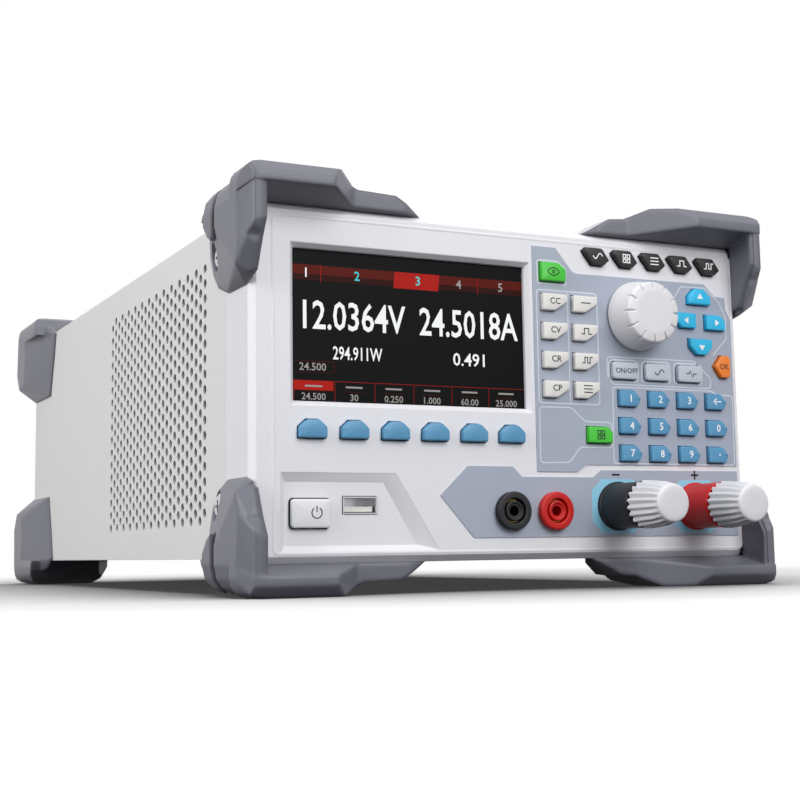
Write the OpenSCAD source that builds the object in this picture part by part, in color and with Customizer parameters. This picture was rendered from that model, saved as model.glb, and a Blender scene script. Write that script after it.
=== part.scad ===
// DC electronic load for a bench, built as a case with a moulded front and forty-two keys.
// Units are millimetres. +Z is up, the front panel faces -Y, the origin is under the middle of the part.

/* [Case] */
// width of the folded steel cover
case_w = 212; // [212:1:224]
// height of the folded steel cover
case_h = 123; // [123:1:132]
// depth from the front panel to the rear edge of the cover
case_d = 353.6; // [340:1:380]
// sheet thickness of cover and chassis
sheet_t = 1; // [0.8:0.1:1.2]
// side vent holes, diameter
vent_hole_d = 3.6; // [3:0.1:3.8]
// distance from the front panel to the first vent column
vent_y0 = 48.97; // [46:0.5:54]
// spacing of the vent columns
vent_dy = 5.408; // [5.2:0.05:5.6]
// spacing of the holes in one column
vent_dz = 5.756; // [5.5:0.05:5.8]
// vent columns on each side
vent_columns = 26; // [8:1:28]
// holes in each column
vent_rows = 17; // [8:1:17]

/* [Front bezel] */
// depth of the moulded bezel along the side
bezel_d = 25.4; // [24:0.2:28]
// thickness of the bezel front wall
bezel_t = 3.2; // [3:0.1:3.6]
// thickness of the bezel side walls
bezel_wall = 2.6; // [2:0.1:3]
// how far the bezel stands above and below the cover
bezel_lip = 1.8; // [1.2:0.1:2.2]
// chamfer around the front edge of the bezel
bezel_edge = 2.4; // [1.5:0.1:2.6]
// depth of the pocket round the power key
pocket_t = 1.6; // [1:0.1:1.8]
// thickness of the printed overlays
overlay_t = 0.4; // [0.3:0.05:0.6]

/* [Display] */
// visible width of the display
lcd_w = 95; // [90:0.5:96]
// visible height of the display
lcd_h = 54.7; // [50:0.5:56]
// left edge of the display from the left side of the case
lcd_x = 16.6; // [15:0.1:18]
// lower edge of the display above the cover bottom
lcd_z = 54.7; // [53:0.1:57]
// thickness of the glass and panel behind it
lcd_t = 4; // [3:0.1:4.4]

/* [Keys] */
// how far the key caps stand out of the panel
key_out = 2.4; // [2:0.1:3]
// key travel
key_travel = 1.2; // [0.8:0.1:1.4]
// clearance between a key and its hole
key_gap = 0.35; // [0.3:0.05:0.4]
// width of the rim that keeps a key behind the wall
key_rim = 0.8; // [0.6:0.05:0.9]
// thickness of that rim
key_rim_t = 1.2; // [1:0.1:1.4]
// width of a soft key under the display
soft_w = 10.4; // [9:0.1:11]
// height of a soft key
soft_h = 6.35; // [5.5:0.05:7]
// spacing of the soft keys
soft_pitch = 16.118; // [15:0.1:16.4]
// width of a mode key
mode_w = 11; // [9.5:0.1:11.2]
// height of a mode key
mode_h = 6.5; // [5.5:0.1:7]
// width of a number key
num_w = 9.6; // [8.5:0.1:10]
// height of a number key
num_h = 6.3; // [5.5:0.1:6.8]
// width of a load key
load_w = 12; // [10.5:0.1:12.4]
// height of a load key
load_h = 6.7; // [5.5:0.1:7]
// width of the power key
power_w = 15; // [13:0.1:15.4]
// height of the power key
power_h = 10; // [9:0.1:10.5]
// travel of the power key
power_travel = 2; // [1.5:0.1:2.2]

/* [Encoder knob] */
// knob diameter at the panel
knob_d = 27.7; // [24:0.1:28]
// knob diameter at its face
knob_face_d = 21; // [18:0.1:22]
// knob height
knob_h = 12; // [10:0.1:14]
// encoder shaft diameter
shaft_d = 6; // [5:0.1:6.4]
// radial running clearance of knobs and rotor
run_gap = 0.05; // [0.04:0.01:0.08]

/* [Terminals] */
// outer diameter of a sense jack
jack_d = 14.4; // [13:0.1:15]
// bore of a sense jack
jack_bore = 4.1; // [4:0.02:4.2]
// depth of the sense jack bore
jack_deep = 20; // [16:0.5:22]
// diameter of the collar of an input post
collar_d = 17.6; // [16:0.1:18]
// length of the collar
collar_l = 18; // [15:0.5:19]
// diameter of a post knob
post_d = 18.4; // [17:0.1:19]
// length of a post knob
post_l = 17; // [15:0.5:18]
// diameter of the post knob cap
post_cap_d = 13; // [12:0.1:14]
// diameter of the brass stud
stud_d = 8; // [7:0.1:8.4]

/* [Bumpers] */
// height of the bumpers over the cover
bumper_h = 13; // [12.6:0.1:15]
// thickness of the front bumpers at the side
bumper_side = 6.5; // [6:0.1:8]
// overhang of the front bumpers
bumper_out = 14; // [12:0.5:16]
// thickness of the rear bumpers at the side
rear_side = 8; // [7:0.1:9]
// overhang of the rear bumpers
rear_out = 22; // [18:0.5:26]
// level top of the left hoods
hood_left = 31; // [28:0.5:34]
// level top of the right hoods
hood_right = 45; // [40:0.5:48]
// straight front edge of the hoods
hood_front = 26; // [22:0.5:27]
// reach of the left front legs
leg_left = 67.5; // [62:0.5:70]
// reach of the right front legs
leg_right = 73; // [68:0.5:75]
// reach of the rear legs
leg_rear = 38; // [34:0.5:42]
// diameter of a case screw head
screw_d = 9.2; // [8:0.1:10]

/* [Rear and inside] */
// fan frame size
fan_w = 80; // [70:1:84]
// fan depth
fan_t = 25; // [20:1:30]
// clearance between the blades and the frame
fan_gap = 1; // [0.8:0.1:1.5]
// number of heat sink fins
fin_n = 14; // [8:1:16]
// heat sink height
sink_h = 58; // [40:1:70]
// standoff under the power board
standoff_h = 9; // [6:0.5:12]
// board thickness
board_t = 1.6; // [1.2:0.1:2]

/* [Hidden] */
$fn = 48;
half_w = case_w / 2;
kz = case_h / 123;
lcd_low = lcd_z * kz;
front_y = -(collar_l + post_l + 1);
y_mid = (front_y + case_d + rear_out) / 2;
flange_y = bezel_t + 0.5;
board_y = flange_y + key_rim_t + key_travel + 2.2;
io_y = 16;
jack_x = [102.7, 121.3];
post_x = [150.4, 187.7];
jack_z = 16.15 * kz;
post_z = 18 * kz;
knob_x = 162.1;
knob_z = 92.9 * kz;
usb_x = 41.55;
usb_z = 18.25 * kz;
fan_x = 25;
fan_z = 1 + fan_w / 2 + 4;
fan_y = case_d - sheet_t - fan_t;
fan_bore = fan_w - 4;
hub_d = fan_w * 0.45;
rear_y = case_d - sheet_t;
inlet_x = -72;
inlet_z = 38;
lan_x = -78;
lan_z = 96 * kz;
serial_x = -46;
serial_z = 96 * kz;
block_x = 46;
block_z = 105 * kz;
sink_w = 140;
sink_y0 = 120;
sink_l = fan_y - 12 - sink_y0;
fin_t = 3;
screw_in = 28.5;
screw_z = 18.8;
screw_top = case_h - 13.5;
tab_t = 9;
tab_in = 8;
tab_z = 7.5;

// Heights measured on the panel, stretched with the case.
function tall(points) = [for (p = points) [p[0], p[1] * kz]];

// Moves the whole assembly so that its box stands on z = 0 around the origin.
module placed() {
  translate([0, -y_mid, bumper_h]) children();
}

// Raises a flat outline drawn in x and z into a solid between two depths.
module slab(y0, y1) {
  translate([0, y1, 0]) rotate([90, 0, 0]) linear_extrude(height = y1 - y0) children();
}

// Round bar along the depth, between two depths, at a place measured from the left side.
module bar(x, z, y0, y1, d) {
  translate([x - half_w, y1, z]) rotate([90, 0, 0]) cylinder(d = d, h = y1 - y0);
}

// Outlines of the key caps, from their lower left corner.
module soft_shape() {
  polygon([[0, 0], [soft_w, 0], [soft_w, soft_h - 2.6], [soft_w - 2.9, soft_h], [2.9, soft_h], [0, soft_h - 2.6]]);
}
module menu_shape() {
  polygon([[0, 5.2], [1.7, 6.6], [8.4, 6.6], [11.8, 2], [9.3, 0], [4.2, 0]]);
}
module view_shape() {
  polygon([[0, 0], [11, 0], [11, 4.8], [7.7, 7.2], [0, 7.2]]);
}
module mode_shape() {
  polygon([[0, 0], [mode_w - 5.5, 0], [mode_w, 3.5], [mode_w, mode_h], [0, mode_h]]);
}
module app_shape() {
  polygon([[0, 0], [11, 0], [11, 4.2], [9, 6.2], [0, 6.2]]);
}
module load_shape() {
  polygon([[0.8, 0], [load_w - 0.8, 0], [load_w, 0.8], [load_w, load_h - 0.8],
           [load_w - 0.8, load_h], [0.8, load_h], [0, load_h - 0.8], [0, 0.8]]);
}
module num_shape() {
  polygon([[0, 0], [num_w - 1.4, 0], [num_w, 2.9], [num_w, num_h - 3.2], [num_w - 2.8, num_h], [0, num_h]]);
}
module up_shape() {
  polygon([[0, 0], [11, 0], [11, 3.2], [7.6, 6.4], [3.2, 6.4], [0, 3.2]]);
}
module down_shape() {
  polygon([[3.4, 0], [7.8, 0], [11, 3.2], [11, 6.4], [0, 6.4], [0, 3.2]]);
}
module left_shape() {
  polygon([[2.4, 0], [9.6, 0], [9.6, 6.1], [0, 6.1], [0, 2.4]]);
}
module right_shape() {
  polygon([[0, 0], [9.6, 0], [9.6, 3.7], [7.2, 6.1], [0, 6.1]]);
}
module ok_shape() {
  polygon([[0, 4.9], [3.4, 9.4], [7, 9.4], [7.8, 8], [7.8, 1.8], [7, 0.4], [3.4, 0.4]]);
}
module power_shape() {
  polygon([[0.8, 0], [power_w - 0.8, 0], [power_w, 0.8], [power_w, power_h - 0.8],
           [power_w - 0.8, power_h], [0.8, power_h], [0, power_h - 0.8], [0, 0.8]]);
}

// Puts an outline at its place on the panel.
module spot(x, z) {
  translate([x - half_w, z * kz]) children();
}
module soft_spot(i) {
  spot(17.6 + i * soft_pitch, 41.6) soft_shape();
}
module menu_spot(i) {
  spot(137.3 + i * 13.56, 112.2) menu_shape();
}
module mode_spot(i) {
  spot(117.8 + floor(i / 4) * 13.9, 92.74 - (i % 4) * 11.2) mode_shape();
}
module load_spot(i) {
  spot(149.2 + i * 15.65, 67.5) load_shape();
}
module num_spot(i) {
  spot(152.05 + (i % 4) * 14.12, 56.8 - floor(i / 4) * 10.732) num_shape();
}
module view_spot() {
  spot(117.6, 104.2) view_shape();
}
module app_spot() {
  spot(137, 42.2) app_shape();
}
module up_spot() {
  spot(187.1, 99.5) up_shape();
}
module left_spot() {
  spot(180.8, 89.6) left_shape();
}
module right_spot() {
  spot(195.6, 89.4) right_shape();
}
module down_spot() {
  spot(187.1, 78.9) down_shape();
}
module ok_spot() {
  spot(199, 69.6) ok_shape();
}
module power_spot() {
  spot(14.95, 10.4) power_shape();
}

// All the key outlines that go through the printed panel.
module key_spots() {
  for (i = [0:5]) soft_spot(i);
  for (i = [0:4]) menu_spot(i);
  for (i = [0:7]) mode_spot(i);
  for (i = [0:2]) load_spot(i);
  for (i = [0:11]) num_spot(i);
  view_spot();
  app_spot();
  up_spot();
  left_spot();
  right_spot();
  down_spot();
  ok_spot();
}

// A key: a cap through the wall and a wider rim behind it that keeps it in.
module key_body() {
  placed() {
    slab(-key_out, flange_y + 0.2) children();
    slab(flange_y, flange_y + key_rim_t) offset(delta = key_rim) children();
  }
}

// Places the holes of the terminals and the knob shaft in the wall.
module terminal_holes(y0, y1) {
  for (i = [0, 1]) bar(jack_x[i], jack_z, y0, y1, 11.4);
  for (i = [0, 1]) bar(post_x[i], post_z, y0, y1, 12.4);
  bar(knob_x, knob_z, y0, y1, 9.4);
}

// Rounded rectangle with its middle on the case axis.
module panel_shape(inset) {
  translate([0, case_h / 2]) offset(r = 3 - inset * 0.6)
    square([case_w - 6 - inset * 0.8, case_h + 2 * bezel_lip - 6 - inset * 0.8], center = true);
}

// Outline of the pocket with the power key and the host socket.
module pocket_shape() {
  spot(0, 0) polygon(tall([[11.3, 2.2], [72.2, 2.2], [55.3, 29.4], [11.3, 29.4]]));
}

// Moulded front bezel: front wall with all its holes, side walls, bosses for the boards.
module front_bezel() {
  color("#dcdce3") placed() difference() {
    union() {
      difference() {
        union() {
          hull() {
            slab(0, 0.1) panel_shape(bezel_edge);
            slab(bezel_edge, bezel_edge + 0.1) panel_shape(0);
          }
          slab(bezel_edge, bezel_d) panel_shape(0);
        }
        translate([-half_w + bezel_wall, bezel_t, bezel_wall - bezel_lip])
          cube([case_w - 2 * bezel_wall, bezel_d, case_h + 2 * bezel_lip - 2 * bezel_wall]);
      }
      for (x = [8, 114.5, case_w - 5]) bar(x, 36.3 * kz, bezel_t - 0.1, board_y, 3);
      for (x = [8, 60, case_w - 5]) bar(x, 115.5 * kz, bezel_t - 0.1, board_y, 3);
      for (x = [9, 60], z = [6, 26]) bar(x, z * kz, bezel_t - 0.1, io_y, 4);
    }
    slab(-1, bezel_t + 1) offset(delta = key_gap) key_spots();
    slab(-1, bezel_t + 1) offset(delta = key_gap) power_spot();
    slab(-1, pocket_t) pocket_shape();
    terminal_holes(-1, bezel_t + 1);
    translate([lcd_x - half_w, -1, lcd_low]) cube([lcd_w, bezel_t + 2, lcd_h]);
    hull() {
      translate([lcd_x - half_w - 1.6, -0.1, lcd_low - 1.6]) cube([lcd_w + 3.2, 0.1, lcd_h + 3.2]);
      translate([lcd_x - half_w, 1.8, lcd_low]) cube([lcd_w, 0.1, lcd_h]);
    }
    translate([usb_x - half_w - 6.75, -1, usb_z - 3.25]) cube([13.5, bezel_t + 2, 6.5]);
  }
}

// Outline of the printed control area.
module control_shape() {
  spot(0, 0) polygon(tall([[114.6, 117.7], [125.1, 117.7], [132.4, 109], [134.2, 108.2], [196.4, 108.4],
                           [201.5, 103.6], [206.6, 103.4], [207, 98.5], [209.2, 94.5], [209.2, 34.2],
                           [136.5, 33.8], [132.3, 31], [114.4, 31]]));
}

// Outline of the printed terminal area.
module terminal_shape() {
  spot(0, 0) polygon(tall([[73, 21.9], [84.5, 32.7], [103.7, 32.7], [107.6, 28.9], [139.4, 29],
                           [143.1, 31.8], [209.2, 32.1], [208.6, 6.4], [86.65, 6.5]]));
}

// Thin printed films on the front wall, pierced for keys and terminals.
module panel_overlays() {
  color("#a9b0c4") placed() difference() {
    union() {
      slab(-overlay_t, 0) control_shape();
      slab(-overlay_t, 0) terminal_shape();
    }
    slab(-1, 1) offset(delta = key_gap) key_spots();
    terminal_holes(-1, 1);
  }
}

// Display glass with its panel, behind the window of the bezel.
module display_module() {
  color("#101114") placed() translate([lcd_x - half_w - 2, bezel_t, lcd_low - 2])
    cube([lcd_w + 4, lcd_t, lcd_h + 4]);
}

// Vent holes of one side, drawn in depth and height.
module vent_shape() {
  for (j = [0 : vent_columns - 1], i = [0 : vent_rows - 1])
    translate([vent_y0 + j * vent_dy, case_h - (13.9 + i * vent_dz + (j % 2) * vent_dz / 2) * kz])
      circle(d = vent_hole_d, $fn = 24);
}

// Folded cover: two pierced sides and the top, in one sheet.
module case_cover() {
  color("#d7d9dd") placed() {
    for (s = [-1, 1]) translate([s * (half_w - sheet_t / 2), 0, 0]) rotate([90, 0, 90])
      linear_extrude(height = sheet_t, center = true) difference() {
        translate([bezel_d, 0]) square([case_d - bezel_d, case_h]);
        vent_shape();
        translate([screw_in, screw_z]) circle(d = 4.4);
        translate([screw_in, screw_top]) circle(d = 4.4);
      }
    translate([-half_w + sheet_t, bezel_d, case_h - sheet_t])
      cube([case_w - 2 * sheet_t, case_d - bezel_d, sheet_t]);
  }
}

// Base pan, rear wall, front bulkhead and the standoffs of the power board.
module chassis() {
  color("#9fa3a8") placed() difference() {
    union() {
      translate([-half_w + sheet_t, bezel_d, 0]) cube([case_w - 2 * sheet_t, case_d - bezel_d, sheet_t]);
      translate([-half_w + sheet_t, rear_y, 0]) cube([case_w - 2 * sheet_t, sheet_t, case_h - sheet_t]);
      translate([-half_w + sheet_t, bezel_d, 0]) cube([case_w - 2 * sheet_t, sheet_t, case_h - sheet_t]);
      for (x = [-96, -56], y = [70, 190, 300]) translate([x, y, 0]) cylinder(d = 6, h = sheet_t + standoff_h);
      for (s = [-1, 1], z = [screw_z, screw_top])
        translate([s * (half_w - sheet_t - 2.5) - 2.5, bezel_d, z - 4.5]) cube([5, screw_in + 4.5 - bezel_d, 9]);
      for (x = [tab_in, case_w - tab_in], z = [tab_z, case_h - tab_z]) bar(x, z, rear_y - 5, rear_y + 0.1, 9);
    }
    translate([-80, bezel_d - 1, 42]) cube([160, sheet_t + 2, 62]);
    translate([inlet_x - 14.2, rear_y - 1, inlet_z - 10.2]) cube([28.4, sheet_t + 2, 20.4]);
    translate([lan_x - 8.2, rear_y - 1, lan_z - 7.2]) cube([16.4, sheet_t + 2, 14.4]);
    translate([serial_x - 9.2, rear_y - 1, serial_z - 5.2]) cube([18.4, sheet_t + 2, 10.4]);
    translate([block_x - 20.2, rear_y - 1, block_z - 5.2]) cube([40.4, sheet_t + 2, 10.4]);
    bar(fan_x + half_w, fan_z, rear_y - 1, rear_y + 3, fan_bore);
    for (s = [-1, 1], z = [screw_z, screw_top])
      translate([s * half_w, screw_in, z]) rotate([0, -s * 90, 0]) cylinder(d = 4.2, h = 7);
    for (x = [tab_in, case_w - tab_in], z = [tab_z, case_h - tab_z]) bar(x, z, rear_y - 6, case_d + 1, 4.2);
  }
}

// Outline of a bumper seen from the front, with a corner of radius r. x runs inboard, z away from the cover.
module corner_shape(side, r, ends) {
  polygon(concat([[-side, -40], [-side, bumper_h - r], [-side + 0.1 * r, bumper_h - 0.56 * r],
                  [-side + 0.29 * r, bumper_h - 0.29 * r], [-side + 0.56 * r, bumper_h - 0.1 * r],
                  [-side + r, bumper_h]], ends));
}

// Raises an outline drawn in depth and height between two places across the case.
module side_plate(x0, x1) {
  translate([x0, 0, 0]) rotate([90, 0, 90]) linear_extrude(height = x1 - x0) children();
}

// Cheek on the side of the case: slopes from its outer face over the rim to its edge on the cover.
module cheek(side, rim_x, edge, rim, face) {
  hull() {
    side_plate(-0.6, 0) polygon(edge);
    side_plate(-rim_x - 0.1, -rim_x) polygon(rim);
    side_plate(-side, -side + 0.1) polygon(face);
  }
}

// Hood and leg along the top or bottom edge, cut by its outlines from the side and from above.
module leg_body(side, profile, plan) {
  intersection() {
    side_plate(-side, 76) polygon(profile);
    translate([0, 0, -1]) linear_extrude(height = bumper_h + 2) polygon(plan);
  }
}

// Front bumper. y runs into the case; the screw hole lies screw_h from the edge of the cover.
module front_bumper(hood, leg, screw_h) {
  rim = -bumper_out;
  top = bumper_h;
  ends = [[hood, top], [hood + 10, top - 4.2], [leg - 11, top - 4.8], [leg, bezel_lip], [leg, -40]];
  difference() {
    intersection() {
      union() {
        cheek(bumper_side, 3,
              [[rim + 0.4, -8], [rim + 0.4, 8], [20, 8], [31, 4], [42, -3], [41, -11], [37.5, -18.5],
               [31.5, -24.5], [21, -28], [3, -28], [-4, -26]],
              [[rim + 0.2, -9], [rim + 0.2, 8], [20, 8], [30, 4], [30, -9], [24, -19], [12, -26], [0, -26]],
              [[-3.5, 8], [19, 8], [19, -4.5], [5, -9.5], [3, -15], [-3.5, -22.5], [-6, -15]]);
        side_plate(-0.3, 1.5) polygon([[rim + 0.8, -7.5], [rim + 0.8, 7], [-0.2, 7], [-0.2, -25], [-4, -24],
                                       [rim + 5, -14]]);
        side_plate(-bumper_side, -0.2) polygon([[23, 12], [28, 11], [32, 7.5], [32, -2], [27, -7], [23, -9]]);
        leg_body(bumper_side, [[rim, 5.5], [rim, 9], [rim + 3.5, top], [14, top], [24, top - 2.5], [31, top - 8],
                               [34, 0], [bezel_d + 0.2, 0], [bezel_d + 0.2, bezel_lip], [-0.5, bezel_lip]],
                 [[-3, rim - 1], [hood_front, rim - 1], [hood + 8, -1.5], [leg - 7, -1], [leg + 1, 2.5],
                  [leg - 3, 11], [52, 22], [34, 30], [0, 35], [-bumper_side - 1, 35], [-bumper_side - 1, -3]]);
        side_plate(-bumper_side, -0.1) polygon([[-3, -3], [-3, top - 3], [12, top - 3], [22, top - 5], [30, 4],
                                                [30, -3]]);
      }
      slab(-40, 60) corner_shape(bumper_side, 6.5, ends);
    }
    slab(3, 60) difference() {
      translate([-bumper_side - 1, top - 12]) square([13, 14]);
      translate([0, -0.01]) corner_shape(bumper_side - 0.01, 11, ends);
    }
    slab(19, 23) difference() {
      translate([-bumper_side - 1, -9]) square([10, 40]);
      translate([3.5, -3.5]) corner_shape(bumper_side, 11, ends);
    }
    side_plate(-bumper_side - 1, 2) polygon([[rim - 1, -8.5], [rim + 4, -13], [rim + 4.5, -22.5], [-3.5, -25], [-3.5, -32],
                                             [rim - 1, -32]]);
    translate([-bumper_side - 1, screw_in, -screw_h]) rotate([0, 90, 0])
      cylinder(d = screw_d + 1.8, h = bumper_side + 2);
  }
}

// Rear bumper with a screw tab behind the rear wall. y runs from the rear edge into the case.
module rear_bumper() {
  rim = -rear_out;
  top = bumper_h;
  difference() {
    intersection() {
      union() {
        cheek(rear_side, 4,
              [[rim + 0.4, -17], [rim + 0.4, 8], [20, 8], [40, 4], [50, -1], [47, -12], [39, -34], [1, -34],
               [-12, -30]],
              [[rim + 0.2, -17], [rim + 0.2, 8], [16, 8], [16, -20], [8, -30], [-8, -29]],
              [[-16, -17], [-14, 8], [3, 8], [5, -10], [3, -24], [-9, -26]]);
        side_plate(-0.3, 1.5) polygon([[rim + 0.8, -16.5], [rim + 0.8, 7], [0, 7], [0, -32], [-11, -28]]);
        leg_body(rear_side, [[rim, 5.5], [rim, 9], [rim + 3.5, top], [14, top], [24, top - 2.5], [31, top - 8],
                             [34, 0], [0, 0]],
                 [[-4, rim - 1], [leg_rear - 12, rim - 1], [leg_rear + 1, -3], [leg_rear + 1, 14],
                  [leg_rear - 8, 28], [0, 35], [-rear_side - 1, 35], [-rear_side - 1, -12]]);
        side_plate(-rear_side, -0.1) polygon([[-12, -3], [-12, top - 3], [3, top - 3], [5, -3]]);
        translate([-0.2, -tab_t, -15]) cube([15, tab_t, 22]);
      }
      slab(-40, 60) corner_shape(rear_side, 9, [[leg_rear - 9, top], [leg_rear, 4], [leg_rear, -40]]);
    }
    bar(half_w + tab_in, -tab_z, -tab_t - 1, 1, 4.4);
  }
}

// All eight bumpers of moulded rubber.
module corner_bumpers() {
  color("#666a76") placed() {
    translate([-half_w, 0, case_h]) front_bumper(hood_left, leg_left, case_h - screw_top);
    translate([half_w, 0, case_h]) mirror([1, 0, 0]) front_bumper(hood_right, leg_right, case_h - screw_top);
    translate([-half_w, 0, 0]) mirror([0, 0, 1]) front_bumper(hood_left, leg_left, screw_z);
    translate([half_w, 0, 0]) mirror([1, 0, 0]) mirror([0, 0, 1]) front_bumper(hood_right, leg_right, screw_z);
    translate([-half_w, case_d, case_h]) mirror([0, 1, 0]) rear_bumper();
    translate([half_w, case_d, case_h]) mirror([1, 0, 0]) mirror([0, 1, 0]) rear_bumper();
    translate([-half_w, case_d, 0]) mirror([0, 1, 0]) mirror([0, 0, 1]) rear_bumper();
    translate([half_w, case_d, 0]) mirror([1, 0, 0]) mirror([0, 1, 0]) mirror([0, 0, 1]) rear_bumper();
  }
}

// Pan head screw along z, its head on z = 0 and the cross recess outward.
module pan_screw(length) {
  difference() {
    union() {
      cylinder(d = screw_d, h = 1);
      translate([0, 0, 1]) cylinder(d1 = screw_d, d2 = screw_d - 2.6, h = 0.9);
      translate([0, 0, -length]) cylinder(d = 4, h = length + 0.1);
    }
    for (a = [0, 90]) rotate([0, 0, a]) translate([-2.4, -0.55, 0.7]) cube([4.8, 1.1, 2]);
  }
}

// Screws through the cover sides and through the tabs of the rear bumpers, into the chassis.
module case_screws() {
  color("#c8c8cc") placed() {
    for (s = [-1, 1], z = [screw_z, screw_top])
      translate([s * half_w, screw_in, z]) rotate([0, s * 90, 0]) pan_screw(5);
    for (x = [tab_in, case_w - tab_in], z = [tab_z, case_h - tab_z])
      translate([x - half_w, case_d + tab_t, z]) rotate([-90, 0, 0]) pan_screw(tab_t + sheet_t + 4);
  }
}

// Insulated body of one sense jack: flange, ring and shank with the socket bore.
module jack_body(i) {
  difference() {
    union() {
      bar(jack_x[i], jack_z, -3.4, -overlay_t, jack_d);
      bar(jack_x[i], jack_z, -3.4, io_y + 6, 11);
    }
    bar(jack_x[i], jack_z, -4, -2.6, jack_d - 3.4);
    bar(jack_x[i], jack_z, -4, io_y + 2, 8.4);
  }
}

// Insulated collar of one input post with its shank through the wall.
module collar_body(i) {
  difference() {
    union() {
      bar(post_x[i], post_z, -collar_l, -overlay_t, collar_d);
      bar(post_x[i], post_z, -overlay_t, 18, 12);
    }
    bar(post_x[i], post_z, -collar_l - 1, 19, stud_d + 0.1);
  }
}

// Black jack and collar.
module negative_terminals() {
  color("#26282b") placed() {
    jack_body(0);
    collar_body(0);
  }
}

// Red jack and collar.
module positive_terminals() {
  color("#c3241f") placed() {
    jack_body(1);
    collar_body(1);
  }
}

// Brass: sleeves in the jacks and studs through the posts.
module terminal_studs() {
  color("#b08d3f") placed() {
    for (i = [0, 1]) difference() {
      bar(jack_x[i], jack_z, -1.6, io_y + 2, 8.2);
      bar(jack_x[i], jack_z, -3, -1.6 + jack_deep - 3.4, jack_bore);
    }
    for (i = [0, 1]) bar(post_x[i], post_z, -collar_l - post_l + 5, 22, stud_d);
    for (i = [0, 1]) bar(post_x[i], post_z, 18, 21, 13);
  }
}

// Ribbed knob that turns on the stud of an input post.
module post_knob(i) {
  tip = -collar_l - post_l - 1;
  color("#d9d9dc") placed() translate([post_x[i] - half_w, tip, post_z]) rotate([-90, 0, 0]) difference() {
    union() {
      cylinder(d1 = post_cap_d, d2 = post_d - 1.6, h = post_l);
      for (a = [0:19]) rotate([0, 0, a * 18]) translate([0, 0, 1.2])
        linear_extrude(height = post_l - 1.2, scale = post_d / (post_cap_d + 1.2))
          translate([post_cap_d / 2 - 0.5, -0.8]) square([1.1, 1.6]);
    }
    translate([0, 0, 4]) cylinder(d = stud_d + 2 * run_gap, h = post_l);
  }
}

// Menu knob: a tapered grip with notches, bored for the encoder shaft.
module encoder_knob() {
  color("#d8d6d6") placed() translate([knob_x - half_w, -knob_h - 0.8, knob_z]) rotate([-90, 0, 0]) difference() {
    union() {
      cylinder(d1 = knob_face_d, d2 = knob_face_d + 3, h = 1.6);
      translate([0, 0, 1.6]) cylinder(d1 = knob_face_d + 3, d2 = knob_d, h = knob_h - 1.6);
    }
    for (a = [0:11]) rotate([0, 0, a * 30]) translate([knob_d / 2 + 0.6, 0, -1]) cylinder(d = 3.4, h = knob_h - 1);
    translate([0, 0, 4]) cylinder(d = shaft_d + 2 * run_gap, h = knob_h);
  }
}

// Boards: control board with the encoder, host socket board and power board with its parts.
module circuit_boards() {
  color("#2f6b45") placed() {
    difference() {
      translate([-half_w + 5, board_y, 35 * kz]) cube([case_w - 10, board_t, 83 * kz]);
      bar(knob_x, knob_z, board_y - 1, board_y + 3, shaft_d - 1);
    }
    translate([-half_w + 5, io_y, 4 * kz]) cube([60, board_t, 24 * kz]);
    bar(knob_x, knob_z, -knob_h + 4.4, board_y + 0.5, shaft_d);
    bar(knob_x, knob_z, -overlay_t + 0.1, board_y, 8.8);
    translate([-100, 62, sheet_t + standoff_h]) cube([48, 246, board_t]);
    translate([-96, 80, sheet_t + standoff_h + board_t]) cube([40, 56, 44]);
    translate([-92, 180, sheet_t + standoff_h + board_t]) cube([30, 36, 28]);
    for (y = [240, 262, 284]) translate([-84, y, sheet_t + standoff_h + board_t]) cylinder(d = 16, h = 30);
    translate([power_w / 2 + 14.95 - half_w - 5, io_y - 4, 11.4 * kz]) cube([10, 4.05, 8]);
  }
}

// Finned heat sink on the base pan, blown by the rear fan.
module heat_sink() {
  color("#b9bcc0") placed() translate([fan_x - sink_w / 2 + 8, sink_y0, sheet_t]) {
    cube([sink_w, sink_l, 6]);
    for (i = [0 : fin_n - 1]) translate([i * (sink_w - fin_t) / (fin_n - 1), 0, 5.9])
      cube([fin_t, sink_l, sink_h - 6]);
  }
}

// Square frame of the fan with four struts to the motor seat.
module fan_frame() {
  color("#202124") placed() translate([fan_x, fan_y, fan_z]) {
    difference() {
      translate([-fan_w / 2, 0, -fan_w / 2]) cube([fan_w, fan_t, fan_w]);
      translate([0, fan_t + 1, 0]) rotate([90, 0, 0]) cylinder(d = fan_bore, h = fan_t + 2);
    }
    for (a = [45, 135]) rotate([0, a, 0]) translate([-fan_bore / 2 - 1, 0, -2]) cube([fan_bore + 2, 3, 4]);
    translate([0, 4, 0]) rotate([90, 0, 0]) cylinder(d = hub_d, h = 4);
    translate([0, 10, 0]) rotate([90, 0, 0]) cylinder(d = 4, h = 7);
    translate([-8, 0, -fan_w / 2 - 4]) cube([16, fan_t, 4.1]);
  }
}

// Fan rotor: hub cup and seven pitched blades.
module fan_rotor() {
  color("#2c2d31") placed() translate([fan_x, fan_y, fan_z]) {
    difference() {
      translate([0, fan_t - 2, 0]) rotate([90, 0, 0]) cylinder(d = hub_d, h = fan_t - 6.6);
      translate([0, 11, 0]) rotate([90, 0, 0]) cylinder(d = 4 + 2 * run_gap, h = 8);
    }
    for (a = [0:6]) rotate([0, a * 360 / 7, 0]) translate([hub_d / 2 - 1.5, (fan_t - 2 + 4.6) / 2, 0])
      rotate([35, 0, 0]) translate([0, -0.8, -11])
        cube([(fan_bore - hub_d) / 2 - fan_gap - 1.2, 1.6, 22]);
  }
}

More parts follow.
